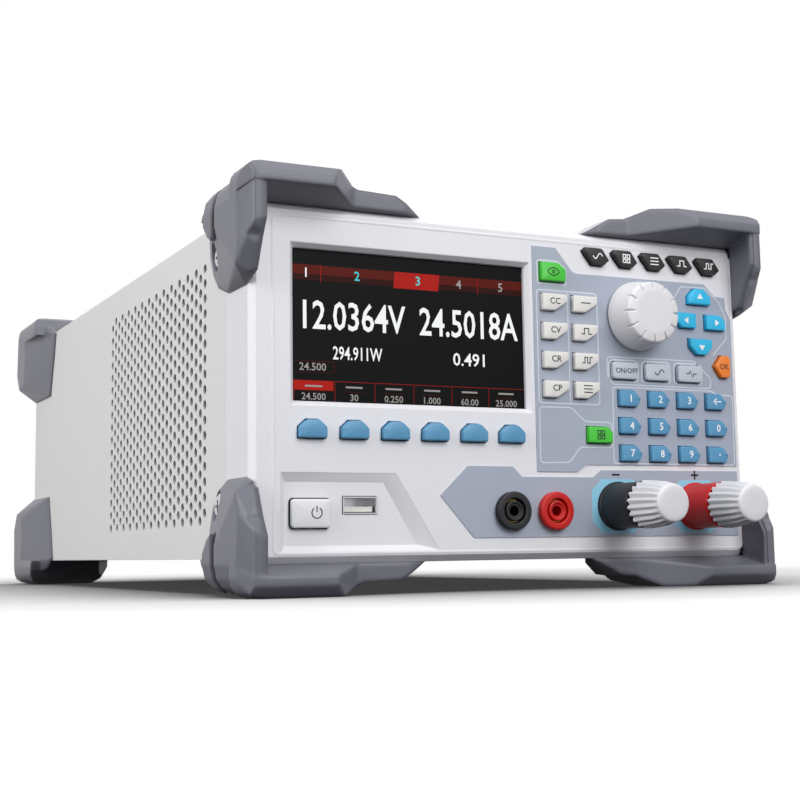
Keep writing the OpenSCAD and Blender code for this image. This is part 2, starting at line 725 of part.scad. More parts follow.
// Front host socket and the sockets of the rear wall.
module connectors() {
  color("#b8babd") placed() {
    difference() {
      translate([usb_x - half_w - 6.55, pocket_t - 0.4, usb_z - 3.05]) cube([13.1, io_y - pocket_t + 0.4, 6.1]);
      translate([usb_x - half_w - 6.15, 0, usb_z - 2.6]) cube([12.3, 11, 5.2]);
    }
    translate([usb_x - half_w - 5.6, 3, usb_z - 2.2]) cube([11.2, 9, 1.8]);
    difference() {
      union() {
        translate([inlet_x - 14, rear_y - 20, inlet_z - 10]) cube([28, 20 + sheet_t, 20]);
        translate([inlet_x - 20, case_d, inlet_z - 12]) cube([40, 2, 24]);
      }
      translate([inlet_x - 12, case_d - 16, inlet_z - 8]) cube([24, 20, 16]);
    }
    for (p = [[-7, -2], [7, -2], [0, 3]])
      translate([inlet_x + p[0] - 1, rear_y - 18, inlet_z + p[1] - 3]) cube([2, 13, 6]);
    difference() {
      translate([lan_x - 8, rear_y - 18, lan_z - 7]) cube([16, 20, 14]);
      translate([lan_x - 6, rear_y - 11, lan_z - 4.5]) cube([12, 20, 8.5]);
    }
    translate([serial_x - 9, rear_y - 8, serial_z - 5]) cube([18, 14, 10]);
    translate([serial_x - 15, case_d, serial_z - 6]) cube([30, 1, 12]);
    difference() {
      translate([block_x - 20, rear_y - 10, block_z - 5]) cube([40, 18, 10]);
      for (i = [0:7]) translate([block_x - 17.5 + i * 5 - 1.4, rear_y + 2, block_z - 2.5]) cube([2.8, 8, 4]);
    }
  }
}

// Cap colours of the key families.
module soft_key(i) {
  color("#5c9cc4") key_body() soft_spot(i);
}
module menu_key(i) {
  color("#2a2626") key_body() menu_spot(i);
}
module mode_key(i) {
  color("#e4e2e0") key_body() mode_spot(i);
}
module load_key(i) {
  color("#c6cad2") key_body() load_spot(i);
}
module num_key(i) {
  color("#5b97bd") key_body() num_spot(i);
}
module view_key() {
  color("#4acb3b") key_body() view_spot();
}
module app_key() {
  color("#4acb3b") key_body() app_spot();
}
module ok_key() {
  color("#f08a2e") key_body() ok_spot();
}
module arrow_up() {
  color("#2bbde8") key_body() up_spot();
}
module arrow_left() {
  color("#2bbde8") key_body() left_spot();
}
module arrow_right() {
  color("#2bbde8") key_body() right_spot();
}
module arrow_down() {
  color("#2bbde8") key_body() down_spot();
}

// Power key in the pocket, with a stem towards its switch.
module power_key() {
  color("#d4d5da") placed() {
    slab(pocket_t - 2.2, flange_y + 0.2) power_spot();
    slab(flange_y, flange_y + key_rim_t) offset(delta = key_rim) power_spot();
    bar(14.95 + power_w / 2, 10.4 * kz + power_h / 2, flange_y + 1, io_y - 4 - power_travel - 0.4, 5);
  }
}

front_bezel();
panel_overlays();
display_module();
case_cover();
chassis();
corner_bumpers();
case_screws();
negative_terminals();
positive_terminals();
terminal_studs();
circuit_boards();
heat_sink();
fan_frame();
connectors();
fan_rotor();
encoder_knob();
post_knob(0);  // post_knob_negative
post_knob(1);  // post_knob_positive
power_key();
view_key();
app_key();
ok_key();
arrow_up();
arrow_left();
arrow_right();
arrow_down();
soft_key(0);  // soft_key_1
soft_key(1);  // soft_key_2
soft_key(2);  // soft_key_3
soft_key(3);  // soft_key_4
soft_key(4);  // soft_key_5
soft_key(5);  // soft_key_6
menu_key(0);  // menu_key_1
menu_key(1);  // menu_key_2
menu_key(2);  // menu_key_3
menu_key(3);  // menu_key_4
menu_key(4);  // menu_key_5
mode_key(0);  // mode_key_1
mode_key(1);  // mode_key_2
mode_key(2);  // mode_key_3
mode_key(3);  // mode_key_4
mode_key(4);  // mode_key_5
mode_key(5);  // mode_key_6
mode_key(6);  // mode_key_7
mode_key(7);  // mode_key_8
load_key(0);  // load_key_1
load_key(1);  // load_key_2
load_key(2);  // load_key_3
num_key(0);  // num_key_1
num_key(1);  // num_key_2
num_key(2);  // num_key_3
num_key(3);  // num_key_back
num_key(4);  // num_key_4
num_key(5);  // num_key_5
num_key(6);  // num_key_6
num_key(7);  // num_key_0
num_key(8);  // num_key_7
num_key(9);  // num_key_8
num_key(10);  // num_key_9
num_key(11);  // num_key_dot
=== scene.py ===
# %% [markdown]
# # A bench DC electronic load
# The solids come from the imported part. This lesson dresses them: it sets the camera where the photo was
# taken from, gives every solid a finish that is named for its real material, and replaces the small
# solids that need soft edges, such as key caps and knobs, by surfaces worked out with numpy.

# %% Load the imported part
import bpy
import numpy as np
from mathutils import Matrix


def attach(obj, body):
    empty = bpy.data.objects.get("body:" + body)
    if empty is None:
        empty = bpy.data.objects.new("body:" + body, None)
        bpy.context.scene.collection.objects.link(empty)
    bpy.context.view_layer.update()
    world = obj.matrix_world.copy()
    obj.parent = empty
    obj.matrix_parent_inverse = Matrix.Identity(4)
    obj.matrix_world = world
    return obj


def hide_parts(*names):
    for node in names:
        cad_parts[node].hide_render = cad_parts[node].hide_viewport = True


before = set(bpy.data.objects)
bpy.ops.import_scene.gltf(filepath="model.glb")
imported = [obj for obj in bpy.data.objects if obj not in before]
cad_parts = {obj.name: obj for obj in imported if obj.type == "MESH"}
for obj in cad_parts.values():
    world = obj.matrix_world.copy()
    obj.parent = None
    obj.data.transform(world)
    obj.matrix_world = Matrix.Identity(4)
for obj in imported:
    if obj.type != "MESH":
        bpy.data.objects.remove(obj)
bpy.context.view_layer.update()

# %% [markdown]
# ## One ruler for the front panel
# Every place on the instrument is measured in millimetres from the lower left corner of the cover:
# x to the right, y from the panel into the case, z up. Places could be typed in metres around the
# middle of the part, but on a panel they are easier to measure and to read from one corner. One
# function turns them into the part's own frame, which stands on its bumpers and is in metres.

# %% Panel millimetres to the part's frame
MM = 0.001
CASE_W, CASE_D = 212.0, 353.6
PANEL_ORIGIN = np.array([CASE_W / 2, 169.8, -13.0])


def to_row(points):
    """Panel millimetres to metres in the part's frame: shift to its origin, then scale."""
    return (np.asarray(points, float) - PANEL_ORIGIN) * MM


print("corner of the cover in metres:", to_row((0, 0, 0)).round(4).tolist())

# %% [markdown]
# ## The camera
# The camera's place was solved from the straight edges of the cover, the display and the key rows.
# It stands low, level with the bottom of the cover, turned to the right and tilted up a little.
# It could be placed by eye, but a solved camera lets the render lie over the photo edge by edge.

# %% Camera
CAMERA_AT = (-163.815, -449.034, 1.709)
YAW, PITCH, ROLL = 0.459225, -0.126397, -0.015246
FOCAL_PX, CENTRE_PX, IMAGE_PX = 1395.1, (401.807, 374.609), 800.0
SENSOR_MM = 36.0


def camera_axes(yaw, pitch, roll):
    """Rows are the camera's right, forward and up: a turn about z, then about x, then about y."""
    cy, sy, cp, sp, cr, sr = (f(a) for a in (yaw, pitch, roll) for f in (np.cos, np.sin))
    turn = np.array([[cy, -sy, 0], [sy, cy, 0], [0, 0, 1]])
    tilt = np.array([[1, 0, 0], [0, cp, -sp], [0, sp, cp]])
    bank = np.array([[cr, 0, sr], [0, 1, 0], [-sr, 0, cr]])
    return bank @ tilt @ turn


right, forward, up = camera_axes(YAW, PITCH, ROLL)
lens = bpy.data.cameras.new("photo_camera")
lens.sensor_width = SENSOR_MM
lens.lens = FOCAL_PX * SENSOR_MM / IMAGE_PX
lens.shift_x = (IMAGE_PX / 2 - CENTRE_PX[0]) / IMAGE_PX
lens.shift_y = (CENTRE_PX[1] - IMAGE_PX / 2) / IMAGE_PX
lens.clip_start = 0.01
camera = bpy.data.objects.new("photo_camera", lens)
pose = np.eye(4)
pose[:3, :3] = np.stack([right, up, -forward], axis=1)
pose[:3, 3] = to_row(CAMERA_AT)
camera.matrix_world = Matrix(pose.tolist())
bpy.context.scene.collection.objects.link(camera)
bpy.context.scene.camera = camera
bpy.context.scene.view_settings.view_transform = "Standard"
print("lens", round(lens.lens, 2), "shift", round(lens.shift_x, 4), round(lens.shift_y, 4))

# %% [markdown]
# ## Colours and nodes
# A colour is written as the hex value that a screen shows, and one function turns it to linear light.
# Another adds a node, sets its values and links its inputs. Nodes could be wired one line at a time,
# but with this a material reads from top to bottom like a recipe.

# %% Colour and node helpers


def srgb(hex_colour, alpha=1.0):
    """An sRGB hex colour as linear light: each channel c becomes ((c + 0.055) / 1.055) ^ 2.4."""
    c = np.array([int(hex_colour[i:i + 2], 16) for i in (1, 3, 5)]) / 255.0
    lin = np.where(c <= 0.04045, c / 12.92, ((c + 0.055) / 1.055) ** 2.4)
    return (*lin.tolist(), alpha)


def add(tree, kind, inputs=None, **settings):
    """Adds a node, sets its properties, and for each input sets a value or links a (node, socket) pair."""
    made = tree.nodes.new(kind)
    for key, value in settings.items():
        setattr(made, key, value)
    for key, value in (inputs or {}).items():
        if isinstance(value, tuple) and len(value) == 2 and hasattr(value[0], "outputs"):
            tree.links.new(value[0].outputs[value[1]], made.inputs[key])
        else:
            made.inputs[key].default_value = value
    return made


print("mid grey in linear light:", round(srgb("#808080")[0], 4))

# %% [markdown]
# ## Moulded and coated surfaces
# Nearly every surface here was moulded or coated: one colour, a fine grain and a soft highlight. Pictures
# of the surface could show that, but noise at a size in millimetres stays sharp from near and far. So one
# recipe takes the colour, the grain and the roughness of each finish. Grain that is too fine to show is
# drawn coarser than it is, at a few tenths of a millimetre.

# %% The common recipe


def finish(name, colour, grain_mm, bump_mm, rough, tone=0.06, metallic=0.0, spec=0.5, coat=0.0, shade_mm=40.0,
           edge_mm=0.0):
    """A surface of one colour that drifts a little over shade_mm, with a grain of grain_mm that also
    moves the roughness. Fine grain gives moulded or powder coated surfaces their soft highlights, and
    edge_mm is the radius with which light turns round an edge, as it does on a moulding."""
    made = bpy.data.materials.new(name)
    made.use_nodes = True
    tree = made.node_tree
    tree.nodes.clear()
    where = add(tree, "ShaderNodeTexCoord")
    grain = add(tree, "ShaderNodeTexNoise", {"Vector": (where, "Object"), "Scale": 1 / (grain_mm * MM),
                                             "Detail": 3.0, "Roughness": 0.6})
    drift = add(tree, "ShaderNodeTexNoise", {"Vector": (where, "Object"), "Scale": 1 / (shade_mm * MM),
                                             "Detail": 2.0})
    base = np.array(srgb(colour)[:3])
    dark, light = (tuple(np.clip(base * k, 0, 1)) + (1.0,) for k in (1 - tone, 1 + tone))
    mixed = add(tree, "ShaderNodeMix", {"Factor": (drift, "Fac"), "A": dark, "B": light}, data_type="RGBA")
    tint = add(tree, "ShaderNodeMix", {"Factor": (grain, "Fac"), "A": dark, "B": light}, data_type="RGBA")
    both = add(tree, "ShaderNodeMix", {"Factor": 0.4, "A": (mixed, "Result"), "B": (tint, "Result")},
               data_type="RGBA")
    spread = add(tree, "ShaderNodeMapRange", {"Value": (grain, "Fac"), "To Min": rough - 0.07,
                                              "To Max": rough + 0.07})
    relief = add(tree, "ShaderNodeBump", {"Height": (grain, "Fac"), "Distance": bump_mm * MM,
                                          "Strength": 0.6})
    if edge_mm:
        turned = add(tree, "ShaderNodeBevel", {"Radius": edge_mm * MM}, samples=8)
        tree.links.new(turned.outputs["Normal"], relief.inputs["Normal"])
    shader = add(tree, "ShaderNodeBsdfPrincipled", {
        "Base Color": (both, "Result"), "Roughness": (spread, "Result"), "Normal": (relief, "Normal"),
        "Metallic": metallic, "Specular IOR Level": spec, "Coat Weight": coat})
    add(tree, "ShaderNodeOutputMaterial", {"Surface": (shader, "BSDF")})
    return made


# Powder coat: pale, with the faint orange peel of baked powder and a wide, dull highlight.
powder_coat = finish("powder_coated_steel", "#E0E0DF", 0.5, 0.03, 0.55, tone=0.03, spec=0.35, edge_mm=0.4)
print("nodes in one finish:", len(powder_coat.node_tree.nodes))

# %% [markdown]
# ### The finishes of the case
# Plastics differ by gloss and by how softly light turns round their edges, metals by how sharp a
# reflection is. Each line starts from the usual values of its material and was then matched to the photo.

# %% Case finishes
# Satin ABS: almost white, smoother than the cover, with a tighter highlight.
bezel_abs = finish("abs_moulded_satin", "#E2E2E7", 0.35, 0.012, 0.38, tone=0.02, edge_mm=0.7)
# Polyester film: flat blue grey with a faint sheen; the pale print lies on the same film.
overlay_film = finish("polyester_film_printed", "#A3AABA", 0.3, 0.01, 0.45, tone=0.035, spec=0.4)
overlay_line = finish("polyester_film_pale_print", "#CDD3DD", 0.3, 0.01, 0.45, tone=0.02, spec=0.4)
# Moulded rubber: darker grey with some cloudiness, light rolling softly over its edges.
bumper_rubber = finish("tpe_rubber_moulded", "#64656F", 0.6, 0.05, 0.42, tone=0.07, edge_mm=2.4)
# Zinc, chrome and nickel: bright metals, from cloudy sheet to mirror-like screw heads.
zinc_steel = finish("zinc_plated_sheet_steel", "#A4A8AC", 3.0, 0.01, 0.35, tone=0.06, metallic=0.9)
screw_chrome = finish("chromed_screw", "#C9CACD", 0.4, 0.005, 0.18, tone=0.05, metallic=1.0)
plated_shell = finish("nickel_plated_shell", "#B7B8BA", 0.5, 0.005, 0.25, tone=0.06, metallic=1.0)
# Brass: warm and bright, with its reflections a little blurred by tool marks.
turned_brass = finish("turned_brass", "#B59347", 0.3, 0.01, 0.28, tone=0.08, metallic=1.0)
# Nylon: deep, even colour and the low gloss of a finely eroded mould.
black_nylon = finish("black_nylon_moulded", "#17181A", 0.4, 0.02, 0.4, tone=0.1, spec=0.3)
red_nylon = finish("red_nylon_moulded", "#BE1411", 0.4, 0.015, 0.36, tone=0.05, spec=0.35)
# Aluminium: pale metal with a dull shine, left as it came from the press.
sink_aluminium = finish("extruded_aluminium", "#B4B7BA", 0.8, 0.02, 0.35, tone=0.07, metallic=1.0)
# PBT: the dull, slightly uneven black of a fan.
fan_plastic = finish("black_pbt_moulded", "#232427", 0.5, 0.02, 0.5, tone=0.1)
# Solder mask: green lacquer with a clear gloss.
board_mask = finish("green_solder_mask", "#2C6A44", 0.6, 0.01, 0.3, tone=0.1)
# Cover glass: near black, with sharp but weak reflections, as under an antireflection film.
screen_glass = finish("display_cover_glass", "#060708", 0.8, 0.001, 0.12, tone=0.1, spec=0.2)
# Vent shade: a matt black sheet with a coarse grain, painted shade for the dark inside of the case behind the
# holes.
vent_shade_black = finish("black_sheet_painted_vent_shade", "#1D1E20", 0.9, 0.2, 0.7, tone=0.3, spec=0.2)
# Plain mouldings on the sockets: even colour, low gloss.
block_green = finish("pa_terminal_block_green", "#2F8A4C", 0.4, 0.02, 0.45, tone=0.06)
tongue_white = finish("pbt_socket_tongue_white", "#D9D9D4", 0.4, 0.01, 0.45, tone=0.03)
print("finishes so far:", len(bpy.data.materials))

# %% [markdown]
# ### The finishes of the keys and knobs
# The caps are moulded in bright colours, the knobs in the colour of the case. The ink of the legends is
# a finish of its own, because it is flatter and duller than the cap under it.

# %% Key and knob finishes
# Polycarbonate caps: clear, even colour and a neat highlight along the round edge.
key_blue = finish("pc_cap_blue", "#5090B8", 0.3, 0.01, 0.36, tone=0.04)
key_black = finish("pc_cap_black", "#1D1B1B", 0.3, 0.015, 0.4, tone=0.1, spec=0.35)
key_white = finish("pc_cap_white", "#DFDDDA", 0.3, 0.01, 0.38, tone=0.02)
key_grey = finish("pc_cap_translucent_grey", "#BFC6D0", 0.3, 0.01, 0.3, tone=0.03)
key_green = finish("pc_cap_green", "#3CC02C", 0.3, 0.01, 0.32, tone=0.04)
key_cyan = finish("pc_cap_cyan", "#22B9E8", 0.3, 0.01, 0.32, tone=0.04)
key_orange = finish("pc_cap_orange", "#EE7F1E", 0.3, 0.01, 0.32, tone=0.04)
# Satin ABS: near white, so that ribs and notches show by their shade alone.
knob_abs = finish("abs_knob_satin", "#DEDDE0", 0.4, 0.01, 0.4, tone=0.02)
post_abs = finish("abs_post_knob_satin", "#D8D8DC", 0.4, 0.015, 0.42, tone=0.02)
# Screen print: thin, even ink with hardly any shine.
ink_dark = finish("screen_print_dark", "#26282C", 0.3, 0.003, 0.5, tone=0.1, spec=0.2)
ink_white = finish("screen_print_white", "#F2F3F5", 0.3, 0.003, 0.5, tone=0.02)
ink_blue = finish("screen_print_light_blue", "#8CC8E2", 0.3, 0.003, 0.45, tone=0.03)
print("finishes:", len(bpy.data.materials))

# %% [markdown]
# ## The solids that stay
# Sheet metal, boards and bumpers already have the right shape, so they only get their finish. New meshes
# could be made for them, but would only repeat the solids. The connectors are one node of several
# materials, so boxes pick the faces that get another finish.

# %% Dress the solids
SOLID_FINISH = {
    "front_bezel": bezel_abs, "panel_overlays": overlay_film, "display_module": screen_glass,
    "case_cover": powder_coat, "chassis": zinc_steel, "corner_bumpers": bumper_rubber,
    "case_screws": screw_chrome, "negative_terminals": black_nylon, "positive_terminals": red_nylon,
    "terminal_studs": turned_brass, "circuit_boards": board_mask, "heat_sink": sink_aluminium,
    "fan_frame": fan_plastic, "connectors": plated_shell, "fan_rotor": fan_plastic,
    "encoder_knob": knob_abs, "post_knob": post_abs, "power_key": bezel_abs, "view_key": key_green,
    "app_key": key_green, "ok_key": key_orange, "arrow": key_cyan, "soft_key": key_blue,
    "menu_key": key_black, "mode_key": key_white, "load_key": key_grey, "num_key": key_blue}
for node_name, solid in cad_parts.items():
    family = next(f for f in SOLID_FINISH if node_name.startswith(f))
    for place in solid.material_slots:
        place.material = SOLID_FINISH[family]
    if not solid.material_slots:
        solid.data.materials.append(SOLID_FINISH[family])


def dress_boxes(node, boxes):
    """Gives a finish to the faces of a solid whose middle lies in a box, given by two corners in panel mm."""
    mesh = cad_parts[node].data
    middle = np.empty(len(mesh.polygons) * 3)
    mesh.polygons.foreach_get("center", middle)
    middle = middle.reshape(-1, 3) / MM + PANEL_ORIGIN
    which = np.zeros(len(mesh.polygons), int)
    for low, high, look in boxes:
        mesh.materials.append(look)
        which[np.all((middle >= low) & (middle <= high), axis=1)] = len(mesh.materials) - 1
    mesh.polygons.foreach_set("material_index", which)
    print(node, "faces by finish:", np.bincount(which).tolist())


INLET_BODY = ((13, 300, 25), (55, 360, 51))
BLOCK_BODY = ((131, 300, 99), (173, 370, 111))
SOCKET_TONGUE = ((35.9, 2.9, 16.0), (47.2, 10.9, 17.9))
dress_boxes("connectors", [(*INLET_BODY, black_nylon), (*BLOCK_BODY, block_green),
                           (*SOCKET_TONGUE, tongue_white)])

# %% [markdown]
# ## Outlines
# Keys, printed lines and the rim of the front all start from a flat outline. Its corners are rounded, each
# with a curve between the two points where the round begins and ends, and it can be set in or out. The
# Bevel modifier rounds corners too, but here the same outline has to serve caps, lines and rims.

# %% Outline helpers


def rounded(corners, radius, steps=5):
    """Rounds each corner c: the curve (1-t)^2 a + 2t(1-t) c + t^2 b runs between the points a and b
    that lie on its two sides, radius away from it or at most 0.45 of the side."""
    c = np.asarray(corners, float)
    before, after = np.roll(c, 1, 0) - c, np.roll(c, -1, 0) - c
    def start(v):
        size = np.linalg.norm(v, axis=1, keepdims=True)
        return c + v / size * np.minimum(radius, 0.45 * size)
    a, b = start(before), start(after)
    t = np.linspace(0, 1, steps)[None, :, None]
    return ((1 - t) ** 2 * a[:, None] + 2 * t * (1 - t) * c[:, None] + t ** 2 * b[:, None]).reshape(-1, 2)


def inset(outline, by):
    """Moves a counter-clockwise outline inwards: each point goes along the mean of its two side normals."""
    side = np.roll(outline, -1, 0) - outline
    side /= np.maximum(np.linalg.norm(side, axis=1, keepdims=True), 1e-9)
    normal = np.stack([-side[:, 1], side[:, 0]], 1)
    mean = normal + np.roll(normal, 1, 0)
    mean /= np.maximum((mean * normal).sum(1, keepdims=True), 0.5)
    return outline + by * mean


print("a square with round corners has", len(rounded([(0, 0), (9, 0), (9, 9), (0, 9)], 1.0)), "points")

# %% [markdown]
# ## Lofts
# A key cap is one profile carried round one outline: it comes straight out of the panel, turns over a
# small round edge and ends in a flat top. Each level of the profile gives one ring, and faces join the
# rings, so the round edge is real geometry.

# %% Loft helpers


def ring_quads(rows, cols, first=0):
    """Four corners of each face between neighbouring rings, the last column joined to the first."""
    r, c = np.arange(rows - 1)[:, None], np.arange(cols)[None, :]
    n = (c + 1) % cols
    quads = np.stack([r * cols + c, r * cols + n, (r + 1) * cols + n, (r + 1) * cols + c], -1)
    return quads.reshape(-1, 4) + first


def loft(outline, levels):
    """A solid from the back to the front: for each (inset, depth) level the outline is set in and put
    at that depth; the last ring is closed by a fan to its middle."""
    rings = [np.insert(inset(outline, by), 1, depth, axis=1) for by, depth in levels]
    cols, rows = len(outline), len(rings)
    middle = rings[-1].mean(0, keepdims=True)
    points = np.concatenate(rings + [middle])
    c = np.arange(cols)
    fan = np.stack([c + (rows - 1) * cols, (c + 1) % cols + (rows - 1) * cols, np.full(cols, rows * cols)], 1)
    return points, ring_quads(rows, cols).tolist() + fan.tolist()


def edge_levels(back, top, radius, steps=4):
    """Levels of a cap: a straight wall from back, then a quarter round of the given radius up to top.
    At angle a the wall is set in by r(1 - cos a) and stands r sin a further out."""
    a = np.linspace(0, np.pi / 2, steps)
    round_edge = np.stack([radius * (1 - np.cos(a)), top + radius - radius * np.sin(a)], 1)
    return [(0.0, back)] + round_edge.tolist()


print("levels of a cap 3 mm high:", len(edge_levels(0.0, -3.0, 0.5)))

# %% [markdown]
# ## Print
# Legends and lines are screen printed: flat ink on a cap or a film. A picture on the surface could carry
# them, but flat faces just above it keep a sharp edge at any distance.

# %% Lettering, lines and areas


def flat_text(words, height, at, depth, width=None, weight=0.012):
    """Lettering as flat faces: the built-in font with its outline moved out by weight, scaled to a height,
    narrowed to a width where one is given, and centred at a place on the panel."""
    curve = bpy.data.curves.new("lettering", "FONT")
    curve.body, curve.resolution_u, curve.offset = words, 2, weight
    holder = bpy.data.objects.new("lettering", curve)
    bpy.context.scene.collection.objects.link(holder)
    flat = bpy.data.meshes.new_from_object(holder.evaluated_get(bpy.context.evaluated_depsgraph_get()))
    p = np.empty(len(flat.vertices) * 3)
    flat.vertices.foreach_get("co", p)
    p = p.reshape(-1, 3)[:, :2]
    faces = [list(f.vertices) for f in flat.polygons]
    bpy.data.objects.remove(holder)
    bpy.data.curves.remove(curve)
    bpy.data.meshes.remove(flat)
    tall = p[:, 1].max() - p[:, 1].min()
    p = (p - (p.max(0) + p.min(0)) / 2) * (height / tall)
    if width:
        p[:, 0] *= min(1.0, width / (p[:, 0].max() - p[:, 0].min()))
    return np.insert(p + np.asarray(at), 1, depth, axis=1), faces


def ribbon(path, width, depth, closed=False):
    """A printed line: the path moved half the width to each side, as a strip of faces."""
    p = np.asarray(path, float)
    ahead = np.roll(p, -1, 0) - p
    if not closed:
        ahead[-1] = ahead[-2]
    ahead /= np.maximum(np.linalg.norm(ahead, axis=1, keepdims=True), 1e-9)
    behind = np.roll(ahead, 1, 0)
    if not closed:
        behind[0] = ahead[0]
    n = np.stack([-(ahead + behind)[:, 1], (ahead + behind)[:, 0]], 1)
    n /= np.maximum((n * np.stack([-ahead[:, 1], ahead[:, 0]], 1)).sum(1, keepdims=True), 0.6)
    left, right_side = p + n * width / 2, p - n * width / 2
    points = np.insert(np.concatenate([right_side, left]), 1, depth, axis=1)
    k, m = len(p), len(p) if closed else len(p) - 1
    i = np.arange(m)
    j = (i + 1) % k
    return points, np.stack([i, j, j + k, i + k], 1).tolist()


def panel_area(corners, depth):
    """A flat printed area with the given corners, at one depth."""
    points = np.insert(np.asarray(corners, float), 1, depth, axis=1)
    return points, [list(range(len(points)))]


print("faces of a straight line:", len(ribbon([(0, 0), (5, 0)], 0.4, 0.0)[1]))

# %% [markdown]
# ## From arrays to a piece
# The shapes of one piece are joined in one mesh, with their places in the mesh and the object at the
# origin. The piece rides on a body of the part, takes the place of a solid where it has one, and says
# which material slot it belongs to. Separate objects would do as well, but then each key would be two.


def make_piece(name, parts, body, replaced=(), smooth_angle=35.0):
    """Joins (points, faces, finish) parts into one mesh object that rides on a body."""
    points, faces, which, finishes, first = [], [], [], [], 0
    for p, f, look in parts:
        if look not in finishes:
            finishes.append(look)
        points.append(to_row(p))
        faces += [[v + first for v in face] for face in f]
        which += [finishes.index(look)] * len(f)
        first += len(p)
    mesh = bpy.data.meshes.new(name)
    mesh.from_pydata(np.concatenate(points).tolist(), [], faces)
    for look in finishes:
        mesh.materials.append(look)
    mesh.polygons.foreach_set("material_index", which)
    mesh.polygons.foreach_set("use_smooth", [True] * len(faces))
    mesh.set_sharp_from_angle(angle=np.radians(smooth_angle))
    mesh.update()
    made = bpy.data.objects.new(name, mesh)
    bpy.context.scene.collection.objects.link(made)
    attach(made, body)
    if replaced:
        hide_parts(*replaced)
    return made


# %% [markdown]
# ## The keys
# Forty-two moulded caps stand out of the panel. Each family has one outline from its lower left corner,
# and a family that stands in rows has the place of its first key and the pitch to the next. A box with
# bevelled edges would be quicker, but most of these caps have five or six sides.

# %% Key outlines and places
KEY_TOP, PRINT = -2.4, 0.03
SOFT = [(0, 0), (10.4, 0), (10.4, 3.75), (7.5, 6.35), (2.9, 6.35), (0, 3.75)]
MENU = [(0, 5.2), (4.2, 0), (9.3, 0), (11.8, 2), (8.4, 6.6), (1.7, 6.6)]
VIEW = [(0, 0), (11, 0), (11, 4.8), (7.7, 7.2), (0, 7.2)]
MODE = [(0, 0), (5.5, 0), (11, 3.5), (11, 6.5), (0, 6.5)]
APP = [(0, 0), (11, 0), (11, 4.2), (9, 6.2), (0, 6.2)]
LOAD = [(0.8, 0), (11.2, 0), (12, 0.8), (12, 5.9), (11.2, 6.7), (0.8, 6.7), (0, 5.9), (0, 0.8)]
NUM = [(0, 0), (8.2, 0), (9.6, 2.9), (9.6, 3.1), (6.8, 6.3), (0, 6.3)]
UP = [(0, 0), (11, 0), (11, 3.2), (7.6, 6.4), (3.2, 6.4), (0, 3.2)]
DOWN = [(3.4, 0), (7.8, 0), (11, 3.2), (11, 6.4), (0, 6.4), (0, 3.2)]
LEFT = [(2.4, 0), (9.6, 0), (9.6, 6.1), (0, 6.1), (0, 2.4)]
RIGHT = [(0, 0), (9.6, 0), (9.6, 3.7), (7.2, 6.1), (0, 6.1)]
OK = [(0, 4.9), (3.4, 0.4), (7, 0.4), (7.8, 1.8), (7.8, 8), (7, 9.4), (3.4, 9.4)]
POWER = [(0.8, 0), (14.2, 0), (15, 0.8), (15, 9.2), (14.2, 10), (0.8, 10), (0, 9.2), (0, 0.8)]
SOFT_GRID = ((17.6, 41.6), (16.118, 0))
MENU_GRID = ((137.3, 112.2), (13.56, 0))
MODE_GRID = ((117.8, 92.74), (13.9, 11.2))
LOAD_GRID = ((149.2, 67.5), (15.65, 0))
NUM_GRID = ((152.05, 56.8), (14.12, 10.732))
VIEW_AT = (117.6, 104.2)


def key_place(first, pitch, column, row=0):
    """Place of a key in its family: column times the pitch to the right of the first, row times it down."""
    return (first[0] + column * pitch[0], first[1] - row * pitch[1])


print("last number key at", key_place(*NUM_GRID, 3, 2))

# %% [markdown]
# ### Legends
# The caps carry plain digits, short words and small line pictures. They lie a few hundredths of a
# millimetre above the cap, so that the two surfaces do not fight for the same pixels.

# %% Signs and legends
SIGN_LINE = 0.42


def sign(kind, at):
    """Small signs as lists of paths in millimetres around a place."""
    x, z = at
    wave = np.linspace(-2.2, 2.2, 13)
    lid = np.linspace(-1.5, 1.5, 15)
    pupil = np.linspace(0, 6.5, 13)
    bow = np.linspace(0.6, 5.68, 21)
    paths = {
        "steady": [[(-2.2, 0), (2.2, 0)]],
        "pulse": [[(-2.4, -1), (-1, -1), (-1, 1.2), (1, 1.2), (1, -1), (2.4, -1)]],
        "toggle": [[(-2.4, -1.1), (-1.2, -1.1), (-1.2, 1.1), (0, 1.1), (0, -1.1), (1.2, -1.1), (1.2, 1.1),
                    (2.4, 1.1)]],
        "list": [[(-2, 1.3), (2, 1.3)], [(-2, 0), (2, 0)], [(-2, -1.3), (2, -1.3)]],
        "wave": [np.stack([wave, 1.1 * np.sin(wave * 1.43)], 1)],
        "short": [[(-2.6, 0), (-1.2, 0), (-0.6, 1.2), (0.6, -1.2), (1.2, 0), (2.6, 0)]],
        "grid": [[(-1.6, -1.6), (-1.6, -0.3), (-0.3, -0.3), (-0.3, -1.6), (-1.6, -1.6)],
                 [(0.3, -1.6), (0.3, -0.3), (1.6, -0.3), (1.6, -1.6), (0.3, -1.6)],
                 [(-1.6, 0.3), (-1.6, 1.6), (-0.3, 1.6), (-0.3, 0.3), (-1.6, 0.3)],
                 [(0.3, 0.3), (0.3, 1.6), (1.6, 1.6), (1.6, 0.3), (0.3, 0.3)]],
        "eye": [np.stack([1.8 * lid, 1.5 * np.cos(lid)], 1), np.stack([1.8 * lid, -1.5 * np.cos(lid)], 1),
                np.stack([0.5 * np.sin(pupil), 0.5 * np.cos(pupil)], 1)],
        "back": [[(-1.9, 0), (1.9, 0)], [(-0.5, 1.3), (-1.9, 0), (-0.5, -1.3)]],
        "power": [np.stack([1.9 * np.sin(bow), 1.9 * np.cos(bow)], 1), [(0, 0.3), (0, 2.4)]]}
    return [np.asarray(p) + (x, z) for p in paths[kind]]


